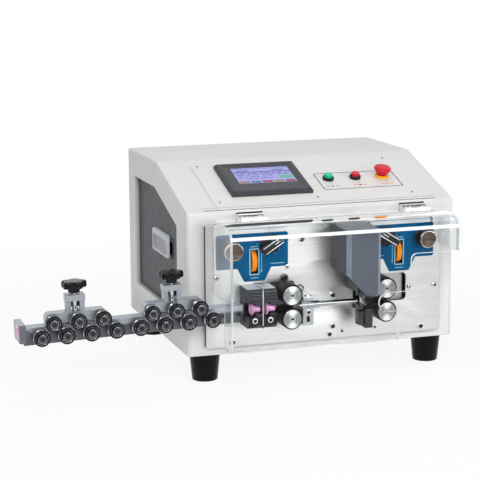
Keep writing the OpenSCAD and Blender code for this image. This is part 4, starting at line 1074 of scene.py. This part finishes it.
class WIREMACHINE_OT_adjusters(Operator):
    """Print the blue adjuster films and make their knobs and wheels"""
    bl_idname = "wiremachine.adjusters"
    bl_label = "Adjusters"

    def execute(self, context):
        look = context.scene.wire_machine_plate
        film = plastic("adjuster film", look.film, 0.38, 0.08, 0.08)
        pale = printed("film line", (0.30, 0.55, 0.68))
        red = printed("film dot", (0.55, 0.03, 0.02))
        films = Piece("adjuster_film_pair", "machine", "blue_film", ["adjuster_overlays"])
        outline = [(-56, -9), (-26, -9), (-16, -29), (16, -29), (26, -9), (52, -9), (52, 42),
                   (-56, 42)]
        soft = rounded(outline, [4, 2, 2.5, 2.5, 2, 4, 4, 4])
        for i in (0, 1):
            flip = Matrix.Diagonal((1 - 2 * i, 1, 1, 1))
            at = forward(ADJUSTER_X[i], FACE_Y, ADJUSTER_Z) @ flip
            holes = [rectangle(-5.5, -17.5, 5.5, 17.5), circle(PRESSURE_DX, PRESSURE_DZ, 5),
                     circle(-LIFT_DX, LIFT_DZ, 5)]
            films.add(plate(soft, holes, 0.6, 0.15, 1), film, at=at)
            top = at @ move(0, 0, 0.58)
            inside = rectangle(-6.2, -18.2, 6.2, 18.2, 0.3)
            films.add(mark(rectangle(-7.6, -19.6, 7.6, 19.6, 0.8), [inside]), pale, at=top)
            films.add(mark(rectangle(10.6, -14, 11.3, 14)), pale, at=top)
            films.add(mark([(9.6, -13), (12.3, -13), (10.95, -16.5)]), pale, at=top)
            films.add(plate(circle(8.5, 31, 1.6, 20), (), 0.12, 0.02, 1), red, at=top)
            for k in range(11):
                turn = math.radians(-60 + 30 * k)
                tick = rectangle(17.2, -0.35, 19.4, 0.35)
                films.add(mark(tick), pale, at=top @ move(PRESSURE_DX, PRESSURE_DZ, 0)
                          @ Matrix.Rotation(turn, 4, "Z"))
            for x, y, half in ((36, -4, 11), (0, -24, 6), (0, 22.5, 6)):
                bar = rectangle(x - half, y - 0.5, x + half, y + 0.5, 0.4)
                films.add(mark(bar), pale, at=top)
        films.build()
        wheel = plastic("wheel plastic", look.wheel, 0.35)
        for i, side in enumerate(SIDES):
            soften(side + "_gap_wheel", wheel, 0.3)
            self.pressure(look, i, side)
            self.lift(look, i, side)
        return {"FINISHED"}

    def pressure(self, look, i, side):
        """Pointer knob with a raised grip and a white line."""
        black = plastic("knob black", (0.022, 0.022, 0.026), 0.32, 0.06)
        white = printed("pointer line", (0.75, 0.76, 0.78))
        steel = shaft_steel()
        silver = plated("knob trim painted highlight", (0.7, 0.7, 0.72), 0.2)
        knob = Piece(side + "_pointer_knob", side + "_pressure_knob", "black_plastic",
                     [side + "_pressure_knob"])
        x = ADJUSTER_X[i] - OUTWARD[i] * PRESSURE_DX
        at = forward(x, FACE_Y - 0.9, ADJUSTER_Z + PRESSURE_DZ)
        e = look.knob_edge
        knob.add(lathe([(13.4, 0), (14.2, 0.5), (14.2, 5.6), (14.2 - e, 6.8), (10, 7.2), (0, 7.2)],
                       56), black, at=at)
        lean = Matrix.Rotation(math.radians(32 if i == 0 else -32), 4, "Z")
        half, wide = 18.5, 6.0
        grip = loft([[(px, py, h) for px, py in rectangle(-half + c, -wide + c * 0.6, half - c,
                                                          wide - c * 0.6, 3.6 - c * 0.3, 5)]
                     for h, c in ((6, 0), (17.6, 0.5), (18.8, 0.9), (19.6, 1.4))])
        knob.add(grip, black, at=at @ lean)
        ends = (3, 15) if i == 0 else (-15, -3)
        knob.add(plate(rectangle(ends[0], -0.6, ends[1], 0.6, 0.5), (), 0.12, 0.03, 1), white,
                 at=at @ lean @ move(0, 0, 19.56))
        # Painted highlight: bright strips along the long top edges of the grip.
        for edge in (-4.4, 4.4):
            knob.add(block((3 - half, edge - 0.7, 18.9), (half - 3, edge + 0.7, 20), 0.3), silver,
                     at=at @ lean)
        knob.add(lathe([(SHAFT_R, SHAFT_END), (SHAFT_R, 0.5)], 24), steel, at=at)
        knob.add(lathe(SHAFT_NUT, 6), steel, at=at)
        knob.build()

    def lift(self, look, i, side):
        """Turned knob with a knurled rim."""
        face = turned("knob face", look.knob, 0.42, 4.0)
        rim = knurled("knob rim", shade(look.knob, 0.15), 0.42, 0.0)
        bright = plated("knob edge", (0.60, 0.57, 0.53), 0.2)
        knob = Piece(side + "_turned_knob", side + "_lift_knob", "brown_metal", [side + "_lift_knob"])
        x = ADJUSTER_X[i] + OUTWARD[i] * LIFT_DX
        at = forward(x, FACE_Y - 0.9, ADJUSTER_Z + LIFT_DZ)
        shape = [(SHAFT_R, SHAFT_END), (SHAFT_R, 0), (12.4, 0), (13.3, 0.8), (13.3, 2.2), (12.9, 2.6),
                 (12.9, 3.4), (13.5, 3.8), (13.5, 22.6), (12.5, 24.3), (11.8, 24.6), (11.2, 24.2),
                 (0, 24.1)]
        knob.add(lathe(shape, 72, [2, 0, 0, 1, 0, 0, 0, 1, 2, 2, 0, 0]), face, rim, bright, at=at)
        knob.add(lathe(SHAFT_NUT, 6), bright, at=at)
        knob.build()


class WIREMACHINE_OT_feed(Operator):
    """Turn the four feed rollers"""
    bl_idname = "wiremachine.feed"
    bl_label = "Feed Rollers"

    def execute(self, context):
        rim = knurled("roller rim", (0.006, 0.006, 0.007), 0.4, 0.0)
        # Painted highlight: two light wedges are painted into the colour of the roller faces.
        face = turned("roller face", (0.90, 0.91, 0.92), 0.19, 3.0, 0.9, 0.36, True)
        steel = shaft_steel()
        dark = socket_shade()
        for i, side in enumerate(SIDES):
            for level, z, end in (("upper", UPPER_Z, 34.5), ("lower", LOWER_Z, 36.2)):
                node = "%s_%s_roller" % (side, level)
                roller = Piece(node + "_drum", node, "roller_metal", [node])
                at = forward(ROLLER_X[i], FACE_Y - 6.5, z)
                shape = [(0, -end), (5, -end), (5, 0), (15.2, 0), (16, 0.8), (16, 34.2), (15.6, 35),
                         (13.9, 35.2), (13.7, 35.9), (13.3, 36.2), (5.2, 36.2), (5.0, 35.8),
                         (3.6, 35.8), (3.4, 36.2), (2.0, 36.2), (1.7, 35.2), (0, 34.7)]
                tags = [0, 0, 1, 1, 1, 1, 1, 0, 2, 2, 0, 0, 0, 2, 3, 3]
                roller.add(lathe(shape, 72, tags), steel, rim, face, dark, at=at)
                roller.build()
        return {"FINISHED"}


class WIREMACHINE_OT_guides(Operator):
    """Finish the guide blocks, the ceramic eyelets and the guide tube"""
    bl_idname = "wiremachine.guides"
    bl_label = "Wire Guides"

    def execute(self, context):
        look = context.scene.wire_machine_plate
        self.blocks()
        self.ridges()
        self.shim()
        self.tube()
        pink = glazed("eyelet glaze", look.ceramic)
        eyelets = Piece("eyelet_set", "machine", "pink_ceramic", ["ceramic_eyelets"])
        for i in (0, 1):
            eyelets.add(self.eyelet(14), pink,
                        at=move(GUIDE_X + 5.5 + 22.5 * i, WIRE_Y, WIRE_Z) @ self.sideways())
        eyelets.add(self.eyelet(9.5), pink, at=BAR @ move(-332.5, WIRE_Y, 4) @ self.sideways())
        eyelets.build()
        return {"FINISHED"}

    def blocks(self):
        """Guide blocks with a painted reflection on their tops, painted shade in their hollows, and
        darker feet.
        """
        blocks = soften("guide_blocks", guide_black(), 0.5)
        # Painted light: the tops take a pale finish as a reflection, the hollows a near-black one as
        # shade.
        for finish in (plastic("guide top painted reflection", (0.52, 0.52, 0.53), 0.3),
                       plastic("guide hollow painted shade", (0.006, 0.006, 0.007), 0.4, 0.05, 0.1),
                       plastic("guide foot", (0.012, 0.012, 0.014), 0.35, 0.05, 0.2)):
            blocks.data.materials.append(finish)
        low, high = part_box("guide_blocks")
        foot, skin, rim = 16 * MM, 2 * MM, 3 * MM
        for face in blocks.data.polygons:
            normal, (_, y, z) = face.normal, face.center
            inside = low[1] + skin < y < high[1] - skin
            between = low[2] + rim < z < high[2] - rim
            if normal.y < -0.9 and z < low[2] + foot:
                face.material_index = 3
            elif normal.z > 0.9 and z > high[2] - skin:
                face.material_index = 1
            elif inside and (normal.y < -0.9 or between and abs(normal.z) > 0.5):
                face.material_index = 2

    def ridges(self):
        """Ribs across the front of the two blocks, above the eyelets."""
        low, high = span("guide_blocks")
        skin = guide_black()
        # Painted highlight: a paler strip along the top of each rib.
        pale = plastic("rib top painted highlight", (0.10, 0.105, 0.115), 0.36, 0.08)
        ribs = Piece("guide_ribs", "machine", "black_plastic")
        half = (high.x - low.x - 1.6) / 2
        for x in (low.x, high.x - half):
            for k in range(3):
                z = high.z - 3.2 - 4.6 * k
                end, back = x + half - 1, low.y + 0.5
                ribs.add(block((x + 1, low.y - 1.2, z - 2.2), (end, back, z), 0.4), skin)
                ribs.add(block((x + 1, low.y - 1.25, z - 0.2), (end, back, z + 0.3), 0.1), pale)
        ribs.build()

    def shim(self):
        """Bright thin plate that stands out between the two blocks."""
        low, high = span("guide_blocks")
        bright = plated("shim steel", (0.66, 0.66, 0.67), 0.2)
        shim = Piece("guide_shim", "machine", "bright_steel")
        outline = rectangle(low.y - 0.8, low.z + 4, -8.2, high.z + 0.6, 1.5)
        shim.add(plate(outline, [circle(WIRE_Y, WIRE_Z, 5.5)], 1.6, 0.2, 1), bright,
                 at=ALONG_X @ move(0, 0, GUIDE_X + 20.95))
        shim.build()

    def tube(self):
        """Guide tube in a slotted bracket with a clamp on top."""
        low, high = span("guide_tube")
        bright = plated("tube steel", (0.42, 0.425, 0.435), 0.12)
        silver = bright_screw()
        sheet = brushed("bracket steel", (0.52, 0.53, 0.54), 0.32, (500, 500, 20), 0.0)
        dark = socket_shade()
        tube = Piece("wire_tube", "machine", "bright_steel", ["guide_tube"])
        l = high.x - low.x
        shape = [(3, 5), (4.6, 0.3), (5.2, 0), (5.5, 0.4), (5.5, 8.6), (5.1, 9), (5.1, 9.8), (5.5, 10.2),
                 (5.5, 27.4), (5.1, 28), (4, 28.2), (4, l - 0.4), (3.7, l), (3, l)]
        tube.add(lathe(shape, 40), bright, at=move(low.x, WIRE_Y, WIRE_Z) @ self.sideways())
        x = low.x + 4
        slot = rectangle(x + 5.5, WIRE_Z - 27, x + 10.5, WIRE_Z - 17, 2.4)
        tube.add(plate(rectangle(x, low.z, x + 16, WIRE_Z - 5.2, 1), [slot], 8, 0.3, 1), sheet,
                 at=forward(0, WIRE_Y + 8, 0))
        # Painted shade: a dark block fills the slot of the bracket.
        tube.add(block((x + 4.5, WIRE_Y + 3, WIRE_Z - 28), (x + 11.5, WIRE_Y + 7.8, WIRE_Z - 16), 0.2),
                 dark)
        tube.add(block((x, WIRE_Y + 3.5, low.z), (x + 16, -8, low.z + 22), 0.5), sheet)
        screw_head(tube, forward(x + 8, WIRE_Y, WIRE_Z - 11.2), 4.2, 2.2, silver, dark)
        tube.add(block((x, WIRE_Y, WIRE_Z + 5.2), (x + 16, WIRE_Y + 8, high.z - 3), 0.8), sheet)
        dome = [(0, 0), (5, 0), (5, 1.2), (4.4, 2.2), (3, 2.8), (0, 3)]
        tube.add(lathe(dome, 28), silver, at=move(x + 8, WIRE_Y + 4, high.z - 3.1))
        tube.build()

    def sideways(self):
        """Turn an axis from z to x."""
        return Matrix.Rotation(QUARTER, 4, "Y")

    def eyelet(self, l):
        """Trumpet with a rounded mouth."""
        return lathe([(3.9, 2.4), (5.2, 1.2), (6.8, 0.3), (8.4, 0.0), (9.5, 0.4), (9.8, 1.2),
                      (9.5, 2.0), (8.0, 2.8), (6.4, 3.8), (5.6, 5.2), (5.5, 6.5), (5.5, l - 0.6),
                      (5.0, l), (2.5, l), (2.2, l - 0.4), (2.2, 5), (2.8, 3.6), (3.9, 2.4)], 40)


class WIREMACHINE_OT_cutter(Operator):
    """Finish the cutter cover and the blade carriers"""
    bl_idname = "wiremachine.cutter"
    bl_label = "Cutter"

    def execute(self, context):
        look = context.scene.wire_machine_plate
        hood = soften("cutter_cover", powder_coat("hood paint", look.hood, 0.36, 0.3), 0.5)
        # Painted light: the chamfers take a lighter copy of the paint as a highlight, the left side a
        # darker one as shade.
        hood.data.materials.append(powder_coat("hood bend painted highlight", shade(look.hood, 2.2), 0.34, 0.5))
        hood.data.materials.append(powder_coat("hood side painted shade", shade(look.hood, 0.45), 0.4, 0.2))
        for face in hood.data.polygons:
            if abs(face.normal.x) > 0.3 and face.normal.y < -0.3:
                face.material_index = 1
            elif face.normal.x < -0.9:
                face.material_index = 2
        dark = brushed("carrier steel", (0.055, 0.054, 0.058), 0.36)
        for node in ("upper_blade", "lower_blade"):
            soften(node, dark, 0.3)
        hollow = socket_shade()
        black = black_oxide()
        screws = Piece("hood_screws", "machine", "dark_steel")
        low, high = span("cutter_cover")
        for x, turn in ((low.x, -QUARTER), (high.x, QUARTER)):
            for z in (132, 172):
                at = move(x, -24, z) @ Matrix.Rotation(turn, 4, "Y")
                screw_head(screws, at, 2.0, 1.2, black, hollow)
        screws.build()
        low, high = span("lower_blade")
        clamp = Piece("lower_clamp_screw", "lower_blade", "dark_steel")
        for z in (low.z + 7, low.z + 18):
            screw_head(clamp, move(low.x, low.y + 12, z) @ Matrix.Rotation(-QUARTER, 4, "Y"), 2.8, 2.2,
                       black, hollow)
        clamp.build()
        return {"FINISHED"}


class WIREMACHINE_OT_cover(Operator):
    """Bend the clear cover and finish its hinges"""
    bl_idname = "wiremachine.cover"
    bl_label = "Clear Cover"

    # Finishes of the sheet, in the order that its faces count them
    FLAT, EDGE, END, TOP, GLINT = range(5)

    def execute(self, context):
        look = context.scene.wire_machine_cover
        # The glint finish is a hazy white band that paints a highlight along the bend.
        skins = [clear_sheet("clear acrylic", look.sheet_colour, 0.0, 1.12),
                 clear_sheet("acrylic edge", look.edge_colour, 0.25, 1.3, 0.5),
                 clear_sheet("acrylic bend", look.sheet_colour),
                 clear_sheet("acrylic top", look.sheet_colour, 0.0, 1.04),
                 clear_sheet("acrylic painted glint", look.sheet_colour, 0.3, 1.49, 0.25)]
        t, r = look.sheet, look.bend
        low, high = span("clear_cover")
        x0, w = low.x, high.x - low.x
        top, foot, flat, reach = high.z, low.z, -high.y, -low.y
        run = reach - r - flat
        arc = QUARTER * (r - t / 2)
        side_h, bend_steps, painted_glint_from, painted_glint_to = 52.0, 12, 0.74, 0.9

        def down(z):
            """Way along the flat sheet to a height on its front."""
            return run + arc + (top - r - z)

        notch_z, notch_r = foot + 57, 14.0
        notch_x, lower_x, upper_x = x0 + 238, x0 + 254, x0 + 274
        cap = [(notch_x - notch_r * math.sin(a), down(notch_z + notch_r * math.cos(a)))
               for a in [math.pi - math.pi * k / 16 for k in range(17)]]
        side = down(top - side_h)
        outline = [(x0, 0), (x0 + w, 0), (x0 + w, side)]
        outline += rounded([(x0 + w, side), (upper_x, side), (upper_x, down(notch_z + notch_r)),
                            (notch_x, down(100))], [0, 9, 2, 0])[1:-1]
        outline += list(reversed(cap))
        outline += [(lower_x, down(notch_z - notch_r)), (lower_x, down(foot)), (x0, down(foot))]
        sheet = plate(outline, (), t, 0.0, 0)
        self.tag_edges(sheet, self.FLAT)
        for k in range(bend_steps + 1):
            cut = run + arc * k / bend_steps
            bmesh.ops.bisect_plane(sheet, geom=sheet.verts[:] + sheet.edges[:] + sheet.faces[:],
                                   plane_co=(0, cut, 0), plane_no=(0, 1, 0))
        for face in sheet.faces:
            # Painted highlight: part of the bend takes the hazy glint finish.
            along = face.calc_center_median().y
            if face.material_index == self.FLAT and along < run + arc:
                painted_glints = run + arc * painted_glint_from < along < run + arc * painted_glint_to
                face.material_index = self.GLINT if painted_glints else self.TOP
        for vert in sheet.verts:
            vert.co = self.bent(vert.co, run, arc, r, t, top, reach, flat)
        bmesh.ops.recalc_face_normals(sheet, faces=sheet.faces[:])
        cover = Piece("clear_hood", "cover", "clear_acrylic", ["clear_cover"])
        cover.add(sheet, *skins)
        for x, low, left in ((x0, foot, True), (x0 + w - t, top - side_h, False)):
            cover.add(self.end(low, left, r, t, top, reach, flat), *skins,
                      at=ALONG_X @ move(0, 0, x))
        cover.build(30)
        self.hinges()
        return {"FINISHED"}

    def tag_edges(self, bm, flat):
        """Sawn edges get their own finish."""
        for face in bm.faces:
            face.material_index = flat if abs(face.normal.z) > 0.5 else self.EDGE

    def bent(self, co, run, arc, r, t, top, reach, flat):
        """Place of a point of the flat sheet after the bend."""
        x, along, deep = co
        if along <= run:
            return Vector((x, -flat - along, top - t + deep))
        if along <= run + arc:
            turn = QUARTER * (along - run) / arc
            radius = r - t + deep
            return Vector((x, -reach + r - radius * math.sin(turn),
                           top - r + radius * math.cos(turn)))
        return Vector((x, -reach + t - deep, top - r - (along - run - arc)))

    def end(self, low, left, r, t, top, reach, flat):
        """End sheet of the cover, inside the bend."""
        inside = t + 0.1
        front, high = -reach + inside, top - inside
        if left:
            arm, under = -62.0, top - 110
            points = [(front, low), (arm, low), (arm, under), (-flat, under), (-flat, high),
                      (front, high)]
            radii = [0, 3, 4, 0, 0, r - inside]
        else:
            points = [(front, low), (-flat, low), (-flat, high), (front, high)]
            radii = [0, 0, 0, r - inside]
        bm = plate(rounded(points, radii, 8), (), t, 0.0, 0)
        self.tag_edges(bm, self.END)
        return bm

    def hinges(self):
        """Hinge halves with their screws, and dark strips of painted shade beside the pins."""
        bright = plated("hinge metal", (0.86, 0.86, 0.87), 0.2)
        dark = socket_shade()
        soften("hinge_bases", bright, 0.3)
        soften("hinge_leaves", bright, 0.3)
        screws = Piece("hinge_screws", "cover", "bright_steel")
        leaf_z = 206.0
        for x in HINGE_X:
            for dx in (10, HINGE_W - 10):
                screw_head(screws, move(x + dx, -19, leaf_z), 2.4, 0.9, bright, dark, 0.4)
            # Painted shade: a dark strip on each leaf.
            screws.add(block((x + 1, -11.6, leaf_z), (x + HINGE_W - 1, -10.4, leaf_z + 0.5), 0.15), dark)
        screws.build()
        top = span("hinge_bases")[1].z
        # Painted shade: dark strips beside the pins.
        lines = Piece("hinge_shade_lines", "machine", "dark_steel")
        for x in HINGE_X:
            lines.add(block((x, -2.9, top - 3.8), (x + HINGE_W, -2.2, top - 0.3), 0.15), dark)
        lines.build()


class WIREMACHINE_OT_straightener(Operator):
    """Finish the straightener with its rollers, slides and star knobs"""
    bl_idname = "wiremachine.straightener"
    bl_label = "Straightener"

    def execute(self, context):
        look = context.scene.wire_machine_straightener
        metal = blasted("bar metal", look.metal)
        bar = soften("straightener_bar", metal, 0.5)
        bar.data.materials.append(blasted("end block darker front", shade(look.metal, 0.42)))
        bar.data.materials.append(self.painted_shade_band(look.metal))
        end_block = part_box("straightener_bar")[0][0] + 16 * MM
        # The end block's front faces take a darker copy of the bar metal.
        for face in bar.data.polygons:
            if face.normal.y < -0.9:
                face.material_index = 1 if face.center.x < end_block else 2
        for side in SIDES:
            soften(side + "_slide", metal, 0.6)
        heads = {"machine": Piece("bar_axle_heads", "machine", "bearing_steel")}
        for side in SIDES:
            heads[side] = Piece(side + "_axle_heads", side + "_slide", "bearing_steel")
        # Painted shade: dark webs between the legs of each yoke.
        shade_webs = Piece("yoke_shade_webs", "machine", "dark_steel")
        shadow = blasted("web painted shade", shade(look.metal, 0.16))
        for x in UNIT_X:
            shade_webs.add(block((x - 6.6, -13.5, 24.4), (x + 6.6, -11.5, 36), 0.2), shadow, at=BAR)
        shade_webs.build()
        for u in (0, 1):
            for i in range(UNIT_ROLLERS):
                upper = i % 2 == 1
                x = UNIT_X[u] + (i - (UNIT_ROLLERS - 1) / 2) / 2 * ROLLER_PITCH
                z = ROW_Z if upper else -ROW_Z
                self.roller(look, u * UNIT_ROLLERS + i + 1, x, z)
                self.head(heads[SIDES[u] if upper else "machine"], x, z)
            self.knob(look, u)
        for piece in heads.values():
            piece.build()
        return {"FINISHED"}

    def painted_shade_band(self, colour):
        """Blasted metal with painted shade along the row of lower rollers."""
        material, shader = finish_base("bar front painted shade", colour, 0.42, 0.9)
        if shader:
            tree = shader.id_data
            coords = tree.nodes.new("ShaderNodeTexCoord")
            height = tree.nodes.new("ShaderNodeVectorMath")
            height.operation = "DOT_PRODUCT"
            height.inputs[1].default_value = (-math.sin(BAR_TILT), 0, math.cos(BAR_TILT))
            tree.links.new(coords.outputs["Object"], height.inputs[0])
            middle = MACHINE @ BAR @ Vector((0, 0, -5))
            level = middle.dot(Vector(height.inputs[1].default_value))
            fade = ranged(tree, height.outputs["Value"], level - 4 * MM, level + 5 * MM, 0.0, 1.0)
            # Painted shade: the lower part of the bar's front is darkened.
            tint(shader, fade, shade(colour, 0.3), colour)
            spread(shader, noise(shader, 90, 3), 0.36, 0.5, "Roughness")
            relief(shader, noise(shader, 2400, 2), 0.25, 0.0002)
        return material

    def head(self, piece, x, z):
        """Head of the shoulder screw that a roller turns on."""
        hub = turned("axle head", (0.10, 0.103, 0.11), 0.22, 4.0)
        hollow = socket_shade()
        bright = plated("axle edge", (0.27, 0.28, 0.30), 0.16)
        at = BAR @ forward(x, FACE_Y - BAR_T - 17.2, z)
        piece.add(lathe([(6.5, 0), (6.5, 2.6), (5.9, 3.25), (5.6, 3.3)], 36), bright, at=at)
        screw_head(piece, at, 5.7, 3.3, hub, hollow, 0.46)
        # Painted shade: a dark hexagon laid in the mouth of the socket.
        piece.add(plate(circle(0, 0, 2.9, 6), (), 0.2, 0.02, 1), hollow, at=at @ move(0, 0, 3.16))

    def roller(self, look, number, x, z):
        """Grooved ring with a dark face, a bright line and a grey inner race."""
        ring = turned("roller steel", look.ring, 0.2, 4.0)
        dark = plastic("roller face black", (0.006, 0.006, 0.008), 0.28, 0.05, 0.2)
        race = turned("roller race", (0.035, 0.036, 0.04), 0.36, 4.0)
        node = "straightener_roller_%d" % number
        at = BAR @ forward(x, FACE_Y - BAR_T - 7, z)
        shape = [(4.05, 0), (11.2, 0), (11.7, 0.5), (11.7, 1.6), (8.5, 4.0), (8.3, 5.0), (8.5, 6.0),
                 (11.7, 8.4), (11.7, 9.3), (11.4, 9.8), (10.9, 10), (8.9, 10), (8.6, 9.9), (8.1, 9.4),
                 (7.9, 8.8), (4.4, 8.8), (4.05, 8.6), (4.05, 0)]
        tags = [1, 1, 1, 0, 0, 0, 0, 1, 1, 1, 1, 0, 0, 2, 2, 2, 2]
        Piece(node + "_ring", node, "bearing_steel", [node]).add(
            lathe(shape, 48, tags), ring, dark, race, at=at).build()

    def knob(self, look, u):
        """Star knob on a threaded rod."""
        black = plastic("star knob", look.knob, 0.2, 0.02, 0.22)
        rod = plated("rod steel", (0.70, 0.70, 0.71), 0.14)
        side = SIDES[u]
        knob = Piece(side + "_star_knob", side + "_thumb_screw", "knob_black",
                     [side + "_thumb_screw"])
        at = BAR @ move(UNIT_X[u], FACE_Y - BAR_T / 2, 0)
        low, base = 13.6, 46.5
        thread = [(0, low), (3.4, low)]
        for k in range(5):
            thread += [(4.0, low + 0.6 + 1.25 * k), (3.5, low + 1.2 + 1.25 * k)]
        thread += [(3.9, low + 7.2), (4.0, low + 7.7), (4.0, base), (0, base)]
        knob.add(lathe(thread, 24), rod, at=at)
        knob.add(lathe([(0, base), (7.6, base), (8.4, base + 0.8), (8.5, base + 5), (9.2, base + 7.4),
                        (0, base + 7.4)], 40), black, at=at)
        count = look.lobes * 16
        star = []
        for k in range(count):
            a = 2 * math.pi * k / count
            wave = 0.5 + 0.5 * math.cos(look.lobes * a)
            radius = 14.0 + 4.5 * wave ** 0.65
            star.append((radius * math.cos(a), radius * math.sin(a)))
        rings = []
        for inset, h in ((2.4, 6.9), (0.5, 7.2), (0.0, 8.0), (0.0, 13.6), (0.6, 15.2), (2.0, 16.2),
                         (4.6, 16.5)):
            rings.append([(x * (1 - inset / 18.5), y * (1 - inset / 18.5), base + h)
                          for x, y in star])
        knob.add(loft(rings, True, True), black, at=at)
        knob.build()


class WIREMACHINE_OT_stage(Operator):
    """Set the floor, the lamps, the sky and the camera"""
    bl_idname = "wiremachine.stage"
    bl_label = "Stage"

    def execute(self, context):
        look = context.scene.wire_machine_stage
        scene = context.scene
        scene.view_settings.view_transform = "Standard"
        self.floor(look)
        self.sky(scene, look)
        self.lamp("key lamp", (-0.75, -2.1, 1.35), (0.8, 0.8), look.key)
        self.lamp("top lamp", (0.05, -0.1, 1.9), (1.0, 1.0), look.top)
        self.lamp("wide lamp", (0.85, -2.2, 0.7), (1.5, 1.1), look.wide)
        self.lamp("strip lamp", (1.7, -1.3, 0.7), (0.2, 1.1), look.strip)
        self.camera(scene)
        return {"FINISHED"}

    def floor(self, look):
        """White paper that takes a soft shadow near the machine and fades into the background."""
        far, near = 6.0, -0.85
        mesh = bpy.data.meshes.new("floor")
        mesh.from_pydata([(-far, near, 0), (far, near, 0), (far, far, 0), (-far, far, 0)], [],
                         [(0, 1, 2, 3)])
        obj = placed("floor", mesh)
        material, shader = finish_base("floor paper", look.floor, 0.9)
        tree = material.node_tree
        out = tree.nodes["Material Output"]
        seen = self.seen_rays(tree)
        white = tree.nodes.new("ShaderNodeEmission")
        coords = tree.nodes.new("ShaderNodeTexCoord")
        reach = tree.nodes.new("ShaderNodeVectorMath")
        reach.operation = "LENGTH"
        tree.links.new(coords.outputs["Object"], reach.inputs["Vector"])
        fade = ranged(tree, reach.outputs["Value"], 0.45, 1.1, 0.88, 1.0)
        mix = tree.nodes.new("ShaderNodeMixShader")
        tree.links.new(calc(tree, "MULTIPLY", seen, fade), mix.inputs["Fac"])
        tree.links.new(shader.outputs["BSDF"], mix.inputs[1])
        tree.links.new(white.outputs["Emission"], mix.inputs[2])
        tree.links.new(mix.outputs["Shader"], out.inputs["Surface"])
        mesh.materials.append(material)

    def seen_rays(self, tree):
        """One for rays that show the background, straight, mirrored or through glass."""
        path = tree.nodes.new("ShaderNodeLightPath")
        either = calc(tree, "MAXIMUM", path.outputs["Is Camera Ray"], path.outputs["Is Glossy Ray"])
        return calc(tree, "MAXIMUM", either, path.outputs["Is Transmission Ray"])

    def sky(self, scene, look):
        """White room behind the machine, a darker one before it."""
        world = bpy.data.worlds.new("studio")
        scene.world = world
        world.use_nodes = True
        tree = world.node_tree
        ground = tree.nodes["Background"]
        ground.inputs["Color"].default_value = (1, 1, 1, 1)
        coords = tree.nodes.new("ShaderNodeTexCoord")
        axes = tree.nodes.new("ShaderNodeSeparateXYZ")
        tree.links.new(coords.outputs["Generated"], axes.inputs["Vector"])
        depth = ranged(tree, axes.outputs["Y"], -0.35, 0.25, look.front, 1.0)
        mix = tree.nodes.new("ShaderNodeMix")
        mix.inputs["A"].default_value = look.sky
        tree.links.new(self.seen_rays(tree), mix.inputs["Factor"])
        tree.links.new(depth, mix.inputs["B"])
        path = tree.nodes.new("ShaderNodeLightPath")
        strength = mix.outputs["Result"]
        for rays in ("Is Camera Ray", "Is Transmission Ray"):
            strength = calc(tree, "MAXIMUM", strength, path.outputs[rays])
        tree.links.new(strength, ground.inputs["Strength"])

    def lamp(self, name, place, size, power):
        """Soft lamp, as wide and high as its size says, aimed at the middle of the machine."""
        light = bpy.data.lights.new(name, "AREA")
        light.shape = "RECTANGLE"
        light.size, light.size_y = size
        light.energy = power
        aim = Vector((0, 0, 0.14)) - Vector(place)
        turn = aim.to_track_quat("-Z", "Y").to_matrix().to_4x4()
        placed(name, light).matrix_world = Matrix.Translation(place) @ turn

    def camera(self, scene):
        """Long lens, low from the front left."""
        turn, lift, roll = math.radians(-17.812), math.radians(10.730), math.radians(-0.306)
        aim = Vector((210, 157.5, 136.5))
        across, rise, far = -75.37635, -3.57, 2497.2591
        back = Vector((math.sin(turn) * math.cos(lift), -math.cos(turn) * math.cos(lift),
                       math.sin(lift)))
        right = Vector((math.cos(turn), math.sin(turn), 0))
        up = back.cross(right)
        right, up = (right * math.cos(roll) + up * math.sin(roll),
                     up * math.cos(roll) - right * math.sin(roll))
        place = MACHINE @ (aim + right * across + up * rise + back * far)
        lens = bpy.data.cameras.new("camera")
        sensor_mm, focal_px, picture_px = 36.0, 1583.119, 480
        lens.sensor_width = sensor_mm
        lens.lens = sensor_mm * focal_px / picture_px
        lens.clip_end = 20.0
        turned_frame = Matrix((right, up, back)).transposed().to_4x4()
        scene.camera = placed("camera", lens)
        scene.camera.matrix_world = Matrix.Translation(place) @ turned_frame


OPERATORS = [WIREMACHINE_OT_cabinet, WIREMACHINE_OT_sides, WIREMACHINE_OT_panel,
             WIREMACHINE_OT_screen, WIREMACHINE_OT_buttons, WIREMACHINE_OT_face_plate,
             WIREMACHINE_OT_adjusters, WIREMACHINE_OT_feed, WIREMACHINE_OT_guides,
             WIREMACHINE_OT_cutter, WIREMACHINE_OT_cover, WIREMACHINE_OT_straightener,
             WIREMACHINE_OT_stage]
LOOKS = {"wire_machine_cabinet": WireMachineCabinet, "wire_machine_controls": WireMachineControls,
         "wire_machine_plate": WireMachinePlate, "wire_machine_cover": WireMachineCover,
         "wire_machine_straightener": WireMachineStraightener,
         "wire_machine_stage": WireMachineStage}


class WIREMACHINE_PT_pieces(Panel):
    """List of the pieces in the sidebar"""
    bl_idname = "WIREMACHINE_PT_pieces"
    bl_label = "Wire Machine"
    bl_space_type = "VIEW_3D"
    bl_region_type = "UI"
    bl_category = "Wire Machine"

    def draw(self, context):
        for operator in OPERATORS:
            self.layout.operator(operator.bl_idname)


def register():
    """Add the settings, the operators and the panel."""
    for group in LOOKS.values():
        bpy.utils.register_class(group)
    for name, group in LOOKS.items():
        setattr(bpy.types.Scene, name, PointerProperty(type=group))
    for cls in OPERATORS + [WIREMACHINE_PT_pieces]:
        bpy.utils.register_class(cls)


def unregister():
    """Take them away again."""
    for cls in reversed(OPERATORS + [WIREMACHINE_PT_pieces]):
        bpy.utils.unregister_class(cls)
    for name in LOOKS:
        delattr(bpy.types.Scene, name)
    for group in LOOKS.values():
        bpy.utils.unregister_class(group)


def main():
    """Dress the whole machine."""
    register()
    for operator in OPERATORS:
        area, name = operator.bl_idname.split(".")
        getattr(getattr(bpy.ops, area), name)()


if __name__ == "__main__":
    main()
